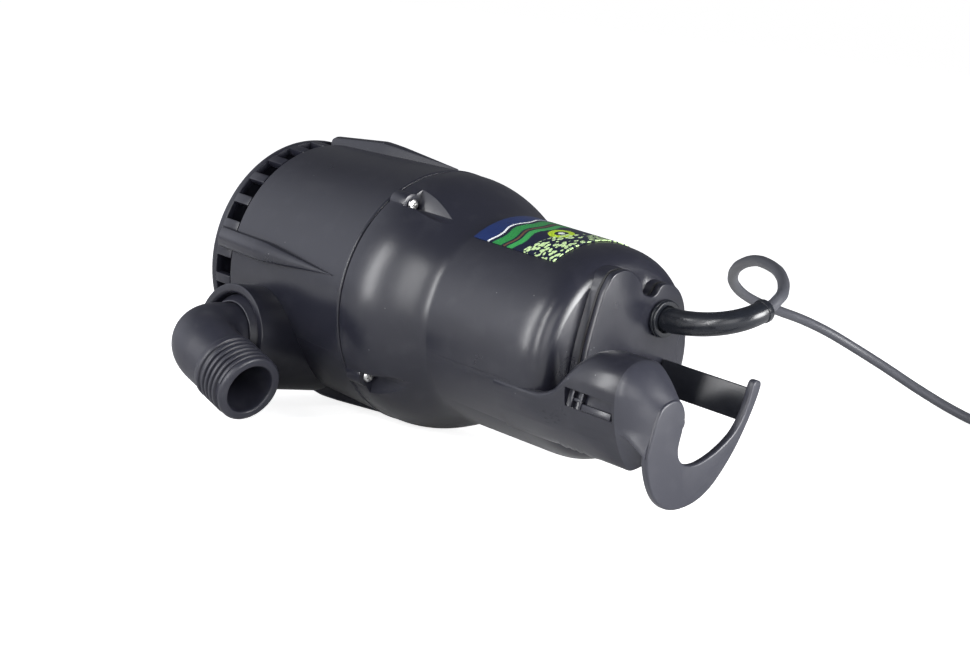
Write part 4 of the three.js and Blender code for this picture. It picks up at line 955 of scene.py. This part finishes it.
@dataclass
class UnderClip:
    """The clip in the tower's wall that a float's cord is pressed into."""

    start: float = 176.0
    length: float = 36.0
    width: float = 10.0
    middle: float = -22.0
    depth: float = 3.2
    bar: float = 1.9
    reach: float = 2.7
    bars: Pair = (4.0, 11.0)
    web: Pair = (5.0, 13.0)
    tongue: float = 12.0

    def floor(self) -> float:
        """The height of the recess's floor."""
        return math.sqrt(UpperHousing.tower_radius ** 2 - self.middle ** 2) - self.depth

    def pocket(self) -> Solid:
        """The recess."""
        half = self.width / 2
        return block((self.start, self.middle - half, self.floor()),
                     (self.start + self.length, self.middle + half, UpperHousing.outside))

    def solid(self) -> Solid:
        """The clip's two cross bars, the web between them and its springy tongue."""
        middle, bar, low = self.middle, self.bar, self.floor() + GAP
        edge = self.width / 2 - GAP
        spans = [(place, place + bar, -edge, edge, 1.0) for place in self.bars]
        spans.append((*self.web, -bar / 2, bar / 2, 0.7))
        spans.append((self.tongue, self.length - 1, -edge, 2 * bar - edge, 0.8))
        first = self.start + GAP
        return gathered(*[softened(block((first + a, middle + c, low),
                                         (first + b, middle + d, low + self.reach * share)), 0.5)
                          for a, b, c, d, share in spans])


@dataclass
class EndPlate:
    """The end plate on its gasket, and the gland where the cord comes out."""

    low: float = 160.5
    height: float = 4.5
    gland_y: float = 28.5
    gland_z: float = -14.0
    ring: float = 11.0
    ring_height: float = 3.6
    gasket: float = 1.5
    gasket_gap: float = 0.05
    gasket_share: float = 0.998

    def top(self) -> float:
        """The plate's outer face."""
        return self.low + self.height

    def build(self, bench: Bench) -> None:
        """Makes the plate, its gasket and the gland ring."""
        slab = softened(prism(PLATE_OUTLINE, self.low, self.top()), 0.7, 3)
        bench.place("cover_plate", slab, HOUSING, ["end_plate"])
        under = self.low - self.gasket_gap
        gasket = prism([(y * self.gasket_share, z * self.gasket_share) for y, z in PLATE_OUTLINE],
                       under - self.gasket, under)
        bench.place("cover_gasket", gasket, RUBBER, ["end_plate_gasket"])
        start, inner, outer = self.top() + GAP, StrainRelief.start_radius + GAP, self.ring
        end = start + self.ring_height
        ring = lathe(rounded([
            (start, inner), (start, outer), (start + 1.6, outer), (start + 1.9, outer - 0.6),
            (start + 2.2, outer - 0.2), (end, outer - 0.5), (end, inner), (start, inner)], 0.4), 72)
        bench.place("cord_gland", shifted(ring, 0, self.gland_y, self.gland_z), RELIEF, ["gland_ring"])


# Handle


NECK_SHARES = [(-0.118, 0.55), (-0.128, 0.675), (-0.235, 0.788), (-0.47, 0.808), (-0.68, 0.799)]
OUTER_SHARES = [
    (-0.846, 0.72), (-0.99, 0.6), (-1.078, 0.453), (-1.096, 0.3), (-1.051, 0.121), (-0.95, -0.045),
    (-0.783, -0.186), (-0.528, -0.313), (-0.286, -0.391), (-0.046, -0.443), (0.15, -0.46), (0.19, -0.41)]
INNER_SHARES = [
    (0.155, -0.348), (-0.05, -0.338), (-0.23, -0.298), (-0.371, -0.22), (-0.525, -0.067), (-0.635, 0.102),
    (-0.672, 0.24), (-0.641, 0.359), (-0.537, 0.422), (-0.379, 0.432), (-0.225, 0.453)]


@dataclass
class Handle:
    """The tower's conical cap, the crescent grip and the strap."""

    top: float = 235.0
    thickness: float = 4.8
    unit: float = 60.0
    strap_low: float = -12.7
    strap_high: float = 6.0
    strap_z: float = -23.0
    strap_thickness: float = 2.4
    cap_gap: float = 0.06
    cap_sunk: float = 1.5
    cap_steps: int = 14
    cap_bulge: float = 1.6

    def outline(self, shares: Sequence[Pair], steps: int) -> list[Pair]:
        """A smooth outline in y and z."""
        return [(y * self.unit, z * self.unit) for y, z in smooth(shares, steps)]

    def cap(self) -> Solid:
        """The bulging cone from the tower's end to the grip's neck."""
        start, end = UpperHousing.tower_end + self.cap_gap, self.top - self.cap_sunk
        tower = UpperHousing().tower_section(UpperHousing.tower_high)
        neck = spread(self.outline([*NECK_SHARES, *INNER_SHARES[-2:]], 6))
        sections = []
        for share in (k / self.cap_steps for k in range(self.cap_steps + 1)):
            x, bulge = start + (end - start) * share, share ** self.cap_bulge
            sections.append([(x, *Vector(a).lerp(Vector(b), bulge)) for a, b in zip(tower, neck)])
        return loft(sections)

    def build(self, bench: Bench) -> None:
        """Makes the handle."""
        back = self.top - self.thickness
        grip = prism(self.outline([*NECK_SHARES, *OUTER_SHARES, *INNER_SHARES], 5), back, self.top)
        softened(grip, 1.3, 4, 50)
        strap = block((EndPlate().top() + GAP, self.strap_low, self.strap_z - self.strap_thickness),
                      (back + 0.4, self.strap_high, self.strap_z))
        bench.place("carry_handle", gathered(self.cap(), grip), GRIP, ["handle"])
        # The strap gets the darker finish: painted shade for the shade inside the handle's loop.
        piece = bench.place("handle_strap", softened(strap, 0.6, 3), STRAP_PAINTED_SHADE, [])


# Strain relief and cord


@dataclass
class StrainRelief:
    """The tapered rubber sleeve, curved along the cord's path as it leaves the gland."""

    start_radius: float = 7.4
    end_radius: float = 6.3
    pull: float = 24.0
    steps: int = 40
    tip: Triple = (47.4, 19.7, -26.9)
    heading: Triple = (-0.105, 0.483, -0.869)
    side: Triple = (0, 0.874, 0.486)

    def corners(self) -> list[Vector]:
        """The four corners of the curve that it follows."""
        seat = EndPlate()
        root = Vector((seat.top() + GAP, seat.gland_y, seat.gland_z))
        mouth = root + Vector(self.tip)
        ahead = Vector(self.heading).normalized()
        return [root, root + Vector((self.pull, 0, 0)), mouth - ahead * self.pull, mouth]

    def build(self, bench: Bench) -> None:
        """Makes the sleeve: rings along the curve, bridged, with a band at its mouth."""
        a, b, c, d = self.corners()
        stations = [(k / self.steps, 1.0) for k in range(self.steps - 2)]
        stations += [(0.952, 1.0), (0.955, 1.09), (0.985, 1.12), (0.999, 1.06), (1.0, 0.98)]
        sleeve = bmesh.new()
        rings = []
        for t, swell in stations:
            ahead = (b - a) * (1 - t) ** 2 + (c - b) * 2 * t * (1 - t) + (d - c) * t * t
            radius = (self.start_radius - 0.15 + (self.end_radius - self.start_radius) * t) * swell
            matrix = basis(ahead.normalized(), Vector(self.side), on_curve((a, b, c, d), t))
            ring = set(bmesh.ops.create_circle(sleeve, segments=40, radius=radius, cap_ends=t in (0, 1.0),
                                               matrix=matrix @ Matrix.Rotation(TAU / 4, 4, "Y"))["verts"])
            rings.append([edge for edge in sleeve.edges if set(edge.verts) <= ring])
        for one, two in zip(rings, rings[1:]):
            bmesh.ops.bridge_loops(sleeve, edges=one + two)
        bench.place("cord_sleeve", cleaned(sleeve), RELIEF, ["strain_relief"])


@dataclass
class MainsCord:
    """The whole mains cord: its free run, its coil and the tail to the plug."""

    diameter: float = 7.0
    slack: float = 0.6
    layers: int = 4
    loops: int = 4
    loop_steps: int = 36
    tail_steps: int = 16
    middle_radius: float = 42.5
    radial_pitch: float = 8.2
    layer_pitch: float = 9.0
    place: Triple = (78.0, 553.9, 0.0)
    tie: float = 1.2
    tie_width: float = 7.0
    tie_angle: float = math.radians(60)
    tie_cut: float = 20.0
    coil_lead: float = 21.0
    route: tuple[Triple, ...] = (
        (163.6, 88.3, 112.4), (161.4, 93.6, 114.4), (158.2, 98.4, 116), (146.8, 111.5, 119.8),
        (132, 125.1, 122.8), (116.5, 137.9, 124), (84, 162.9, 123.5), (53.5, 187.9, 119), (20, 217.9, 111),
        (-12.5, 252.4, 101), (-38, 284.9, 91.5), (-56, 317.4, 82), (-65.5, 346.9, 74.5), (-68, 372.4, 69),
        (-66, 395.9, 63.5), (-60, 417.9, 56), (-49, 437.9, 46), (-33, 454.9, 35), (-13, 468.4, 23.5),
        (10, 478.9, 13.5), (30, 485.9, 7.6))

    def height(self) -> float:
        """The height of the lowest turns' middle line."""
        return self.diameter / 2 + self.slack + self.tie

    def outer(self) -> float:
        """The radius of the outermost turn's middle line."""
        return self.middle_radius + (self.loops - 0.5) * self.radial_pitch / 2

    def coil_point(self, turn: float) -> Vector:
        """The coil's middle line after a number of turns."""
        layer = min(int(turn / self.loops), self.layers - 1)
        within = turn - layer * self.loops
        winding = self.loops - 0.5
        last = layer == self.layers - 1
        inward = (within if last else min(within, winding)) * self.radial_pitch
        climb = 0.0 if last else max(within - winding, 0.0) * 2
        span = winding * self.radial_pitch
        radius = self.outer() - (inward if layer % 2 == 0 else span - inward)
        return Vector(self.place) + Vector((radius * math.sin(TAU * turn), -radius * math.cos(TAU * turn),
                                            self.height() + (layer + climb) * self.layer_pitch))

    def points(self, bench: Bench) -> tuple[list[Vector], Vector]:
        """The cord's whole route in the row's frame.

        Args:
            bench: The bench, for the pump's frame.

        Returns:
            The points in metres, and the plug's mouth in millimetres.
        """
        mouth = bench.lay @ StrainRelief().corners()[3] / MM
        ahead = (bench.lay.to_3x3() @ Vector(StrainRelief.heading)).normalized()
        entry = Vector(self.place) + Vector((-self.diameter, -self.outer(), self.height()))
        route = [mouth + ahead * GAP, mouth + ahead * self.diameter, *[Vector(point) for point in self.route]]
        route += [entry + Vector((-self.coil_lead, -self.diameter / 4, 0)), entry - Vector((GAP, 0, 0))]
        route = dense(route, 7)
        count = self.layers * self.loops * self.loop_steps
        route += [self.coil_point(k / self.loop_steps) for k in range(count + 1)]
        leave = route[-1] + Vector((self.diameter, 0, 0))
        plug = Vector((leave.x + Plug.place, leave.y, Plug.radius + GAP))
        start = leave.x + GAP
        for share in (k / self.tail_steps for k in range(self.tail_steps + 1)):
            route.append(Vector((start + (plug.x - GAP - start) * share, leave.y,
                                 leave.z + (plug.z - leave.z) * (1 - math.cos(math.pi * share)) / 2)))
        return [point * MM for point in route], plug

    def build(self, bench: Bench) -> None:
        """Makes the cord, its tie and the plug."""
        points, plug = self.points(bench)
        curve = bpy.data.curves.new("mains_cord", "CURVE")
        curve.dimensions = "3D"
        curve.bevel_depth = self.diameter * MM / 2
        curve.bevel_resolution = 4
        curve.use_fill_caps = True
        curve.resolution_u = 1
        spline = curve.splines.new("POLY")
        spline.points.add(len(points) - 1)
        for point, place in zip(spline.points, points):
            point.co = (*place, 1)
        spline.use_smooth = True
        curve.materials.append(SHEATH.material())
        cord = linked("mains_cord", curve)
        bench.settle(cord, ["cord_free", "cord_coil", "cord_tail"], Body.PUMP)
        tie = self.tie_piece(bench)
        pieces = Plug().build(bench, plug)

    def tie_piece(self, bench: Bench) -> bpy.types.Object:
        """The flat tie round the coil's turns."""
        slack = self.diameter / 2 + self.slack
        low = self.outer() - (self.loops - 0.5) * self.radial_pitch - slack
        high = self.outer() + slack
        base, width, tie = self.tie + GAP, self.tie_width / 2, self.tie
        top = self.height() + (self.layers - 1) * self.layer_pitch + slack
        outside = softened(block((low - tie, -width, base - tie), (high + tie, width, top + tie)), 1.1, 3)
        inside = block((low, -self.tie_cut, base), (high, self.tie_cut, top))
        strap = carved(outside, [inside], Cut.DIFFERENCE)
        turn = Matrix.Translation((self.place[0], self.place[1], 0)) @ Matrix.Rotation(self.tie_angle, 4, "Z")
        return bench.place("cord_tie", moved(strap, turn), RUBBER, ["coil_tie"], lay=bench.floor)


@dataclass
class Plug:
    """A round moulded mains plug with two pins."""

    place: float = 64.0
    radius: float = 18.0
    length: float = 36.0
    neck: float = 6.5
    neck_length: float = 22.0
    neck_ribs: int = 5
    rib_pitch: float = 4.0
    rib_growth: float = 0.1
    pin: float = 2.4
    pin_length: float = 19.0
    spacing: float = 19.0

    def build(self, bench: Bench, mouth: Vector) -> list[bpy.types.Object]:
        """Makes the plug's body and pins.

        Args:
            bench: The bench.
            mouth: Where the cord goes in, in millimetres.

        Returns:
            The pieces.
        """
        neck, start, radius = self.neck, self.neck_length, self.radius
        end = start + self.length
        profile = [(0, 0), (0, neck - 1)]
        for k in range(self.neck_ribs):
            x = 1.2 + k * self.rib_pitch
            high, low = neck - 0.7 + self.rib_growth * k, neck - 1.5 + self.rib_growth * k
            profile += [(x, high), (x + 2.2, high), (x + 2.5, low), (x + 3.6, low)]
        profile += bezier([(start, neck * 1.2), (start + 8, neck * 1.8), (start + 9, radius - 0.2),
                           (start + self.length / 2, radius - 0.1)], 10)
        profile += [(end - x, radius - drop) for x, drop in (
            (6, 0), (5.4, 0.6), (4.8, 0), (1.4, 0), (0.3, 0.6), (0, 2), (0, radius))]
        body = shifted(lathe(profile, 72), *mouth)
        pieces = [bench.place("mains_plug", body, RELIEF, ["plug_body"], lay=bench.floor)]
        start = end - self.pin_length / 2 + GAP
        tip = start + 1.5 * self.pin_length
        for k, side in enumerate((-1, 1), start=1):
            pin = lathe([(start, 0), (start, self.pin), (tip - 2, self.pin), (tip - 0.7, self.pin * 0.75),
                         (tip, self.pin * 0.35), (tip, 0)], 28)
            shifted(pin, mouth.x, mouth.y + side * self.spacing / 2, mouth.z)
            pieces.append(bench.place(f"mains_pin_{k}", pin, PIN, [f"plug_pin_{k}"], lay=bench.floor))
        return pieces


# Label


NAVY = (0.006, 0.009, 0.028, 1)
BLUE = (0.008, 0.022, 0.1, 1)
LIME = (0.4, 0.58, 0.015, 1)
WHITE = (0.66, 0.72, 0.68, 1)
PALE_GREEN = (0.5, 0.68, 0.33, 1)
STRIP_END = 0.2
RINGS = [(0.115, LIME), (0.062, NAVY), (0.03, WHITE)]
WAVES = [(STRIP_END, 0.012, (0.75, 0.78, 0.8, 1)), (0.31, 0.055, (0.02, 0.21, 0.05, 1)),
         (0.4, 0.012, (0.12, 0.06, 0.03, 1)), (0.47, 0.035, (0.035, 0.28, 0.07, 1))]


def label_group() -> bpy.types.NodeTree:
    """The label's print: a blue strip, green waves, a lime ring and pale drops on a navy ground."""
    wire = Wiring.group("label_print", {"Vector": None}, {"Colour": NAVY})
    where = wire.tree.nodes["In"].outputs["Vector"]
    along, across = wire.node("ShaderNodeSeparateXYZ", Vector=where).outputs[:2]
    wave = wire.math(wire.math(wire.math(across, "*", 26.0), "SINE"), "*", 0.022)
    place = wire.math(along, "+", wave)
    colour = wire.blend(wire.math(along, "<", STRIP_END), NAVY, BLUE)
    for middle, width, tint in WAVES:
        band = wire.math(wire.math(wire.math(place, "-", middle), "ABSOLUTE"), "<", width)
        colour = wire.blend(band, colour, tint)
    offset = wire.vector("SUBTRACT", where, (0.66, 0.69, 0)).outputs[0]
    oval = wire.vector("MULTIPLY", offset, (1.0, 1.36, 0)).outputs[0]
    distance = wire.node("ShaderNodeVectorMath", {"operation": "LENGTH", 0: oval}).outputs["Value"]
    for radius, tint in RINGS:
        colour = wire.blend(wire.math(distance, "<", radius), colour, tint)
    drops = wire.node("ShaderNodeTexVoronoi", {"feature": "F1"}, Vector=where, Scale=27.0)
    inside = wire.math(drops.outputs["Distance"], "<", 0.47)
    corner = wire.math(wire.math(along, "+", wire.math(across, "*", 0.35)), ">", 0.95)
    colour = wire.blend(wire.math(inside, "*", corner), colour, PALE_GREEN)
    wire.feed(wire.tree.nodes["Out"].inputs["Colour"], colour)
    return wire.tree


@dataclass
class Label:
    """The thin label wrapped round the motor, with its own print."""

    start: float = 62.3
    length: float = 66.0
    first: float = math.radians(-38)
    last: float = math.radians(45)
    inner: float = 62.3
    thickness: float = 0.5
    edge: float = 0.15

    def material(self) -> bpy.types.Material:
        """The glossy printed film."""
        material, wire = Wiring.material("printed_film")
        shader = wire.tree.nodes["Principled BSDF"].inputs
        where = wire.node("ShaderNodeTexCoord").outputs
        artwork = wire.node("ShaderNodeGroup", {"node_tree": label_group()}, Vector=where["UV"])
        grain = wire.noise(where["Object"], 900.0, 2.0)
        bump = wire.node("ShaderNodeBump", Strength=0.3, Distance=0.03 * MM, Height=grain)
        wire.feed(shader["Base Color"], artwork.outputs["Colour"])
        wire.feed(shader["Roughness"], wire.math(0.24, "+", wire.math(grain, "*", 0.12)))
        wire.feed(shader["Normal"], bump.outputs[0])
        return material

    def build(self, bench: Bench) -> None:
        """Makes the label."""
        start, end, edge = self.start, self.start + self.length, self.edge
        inner, outer, sweep = self.inner, self.inner + self.thickness, self.last - self.first
        patch = lathe([(start, inner), (start, outer - edge), (start + edge, outer), (end - edge, outer),
                       (end, outer - edge), (end, inner), (start, inner)], 40, sweep)
        turned(patch, self.first)
        layer = patch.loops.layers.uv.new("print")
        for loop in (loop for face in patch.faces for loop in face.loops):
            place = loop.vert.co
            angle = math.atan2(place.z, place.y)
            loop[layer].uv = ((place.x - start) / self.length, (angle - self.first) / sweep)
        piece = bench.place("type_label", patch, HOUSING, ["rating_label"])
        piece.data.materials[0] = self.material()


# Pieces inside


INSIDE = {
    RUBBER: ("housing_o_ring", "gland_seal", "seal_bellows", "elbow_o_ring"),
    PALE: ("capacitor", "terminal_block"),
    ALLOY: ("lower_bracket", "upper_bracket"),
    STEEL: ("stator_core", "rotor_core"),
    COPPER: ("upper_winding", "lower_winding"),
    CERAMIC: ("seal_seat",),
    HOUSING: ("impeller", "seal_plate"),
    ZINC: ("lower_bearing", "upper_bearing", "shaft", "stator_bolt_1", "stator_bolt_2", "stator_bolt_3",
           "stator_bolt_4", "impeller_nut", "suction_plate"),
}


def dress_inside() -> None:
    """Gives the CAD nodes inside the housings their finishes."""
    for finish, names in INSIDE.items():
        for name in names:
            materials = frame["nodes"][name].data.materials
            materials.clear()
            materials.append(finish.material())
            LOG.info("%s gets the finish %s", name, finish.name)


# Studio


@dataclass
class Studio:
    """The pale floor, the soft light and the camera."""

    eye: Triple = (1124.861, 112.498, 1078.31)
    ahead: Triple = (-0.705707, -0.077169, -0.704289)
    down: Triple = (0.232899, -0.964076, -0.127734)
    focal_pixels: float = 2600.0
    width_pixels: int = 970
    height_pixels: int = 647
    bright: float = 1.25
    dark: float = 0.15
    toward: Triple = (-0.78, -0.62, -0.04)
    narrow: float = 0.4
    room: tuple[float, ...] = (0.9, 0.92, 1, 1)
    floor_size: float = 60.0
    floor_drop: float = 0.0004
    floor_glow: float = 0.82

    def camera(self, bench: Bench) -> None:
        """Stands the camera where the photograph was taken from."""
        data = bpy.data.cameras.new("camera")
        data.sensor_width = 36
        data.lens = self.focal_pixels / self.width_pixels * data.sensor_width
        data.clip_start, data.clip_end = 0.05, 200
        camera = linked("camera", data)
        turn = bench.lay.to_3x3()
        ahead = (turn @ Vector(self.ahead)).normalized()
        upward = -(turn @ Vector(self.down)).normalized()
        right = ahead.cross(upward).normalized()
        facing = Matrix((right, right.cross(ahead), -ahead)).transposed().to_4x4()
        camera.matrix_world = Matrix.Translation(bench.lay @ Vector(self.eye)) @ facing
        bpy.context.scene.camera = camera

    @staticmethod
    def lamp(name: str, place: Triple, target: Triple, size: Pair, power: float) -> None:
        """Adds a soft box.

        Args:
            name: Its name.
            place: Where it stands, in metres.
            target: What it points at.
            size: Its width and height.
            power: Its power in watts.
        """
        data = bpy.data.lights.new(name, "AREA")
        data.shape = "RECTANGLE"
        data.size, data.size_y = size
        data.energy = power
        lamp = linked(name, data)
        lamp.location = place
        lamp.rotation_mode = "QUATERNION"
        lamp.rotation_quaternion = (Vector(target) - Vector(place)).to_track_quat("-Z", "Y")

    def world(self) -> None:
        """A room that is bright on one side and dark behind, and plain white where the camera sees it."""
        world = bpy.data.worlds.new("studio")
        bpy.context.scene.world = world
        world.use_nodes = True
        world.node_tree.nodes.clear()
        wire = Wiring(world.node_tree)
        facing = wire.vector("DOT_PRODUCT", wire.node("ShaderNodeTexCoord").outputs["Generated"], self.toward)
        level = wire.node("ShaderNodeMapRange", {"interpolation_type": "SMOOTHSTEP"},
                          Value=facing.outputs["Value"], From_Min=self.narrow, From_Max=1.0, To_Min=self.dark,
                          To_Max=self.bright)
        room = wire.node("ShaderNodeBackground", Color=self.room, Strength=level.outputs[0])
        white = wire.node("ShaderNodeBackground", Color=(1, 1, 1, 1), Strength=1.0)
        seen = wire.node("ShaderNodeLightPath").outputs["Is Camera Ray"]
        mixed = wire.node("ShaderNodeMixShader", {0: seen, 1: room.outputs[0], 2: white.outputs[0]})
        wire.node("ShaderNodeOutputWorld", Surface=mixed.outputs[0])

    def floor(self) -> None:
        """The pale floor, which keeps its shadow."""
        sheet = bmesh.new()
        bmesh.ops.create_grid(sheet, x_segments=1, y_segments=1, size=self.floor_size)
        floor = linked("floor", as_mesh(sheet, "floor"))
        floor.location = (0, 0, -self.floor_drop)
        material, wire = Wiring.material("pale_floor")
        wire.tree.nodes.clear()
        dull = wire.node("ShaderNodeBsdfDiffuse", Color=(0.9, 0.9, 0.9, 1))
        seen = wire.node("ShaderNodeLightPath").outputs["Is Camera Ray"]
        level = wire.math(seen, "*", self.floor_glow)
        glow = wire.node("ShaderNodeEmission", Color=(1, 1, 1, 1), Strength=level)
        both = wire.node("ShaderNodeAddShader", {0: dull.outputs[0], 1: glow.outputs[0]})
        wire.node("ShaderNodeOutputMaterial", Surface=both.outputs[0])
        floor.data.materials.append(material)

    def build(self, bench: Bench) -> None:
        """Sets the floor, the lamps, the world and the camera."""
        self.floor()
        self.world()
        self.lamp("left_box", (-0.7, -1.5, 0.5), (0, 0, 0.08), (0.14, 1.4), 17)
        self.lamp("middle_box", (0.24, -1.65, 0.5), (0, 0, 0.08), (0.14, 1.4), 18)
        self.lamp("right_box", (1.8, 0.5, 0.5), (0.1, 0, 0.08), (0.9, 0.9), 66)
        self.lamp("front_box", (1.15, -1.2, 0.4), (0.1, 0, 0.08), (0.9, 1.0), 9)
        self.camera(bench)
        scene = bpy.context.scene
        scene.render.resolution_x = self.width_pixels
        scene.render.resolution_y = self.height_pixels
        scene.view_settings.view_transform = "Standard"


def main() -> None:
    """Builds the pump and its studio."""
    logging.basicConfig(level=logging.INFO, format="%(name)s: %(message)s")
    bench = Bench()
    for part in (Casing(), Outlet(), Strainer(), Screws(), UpperHousing(), EndPlate(), Handle(),
                 StrainRelief(), Label(), MainsCord()):
        part.build(bench)
    dress_inside()
    Studio().build(bench)


if __name__ == "__main__":
    main()
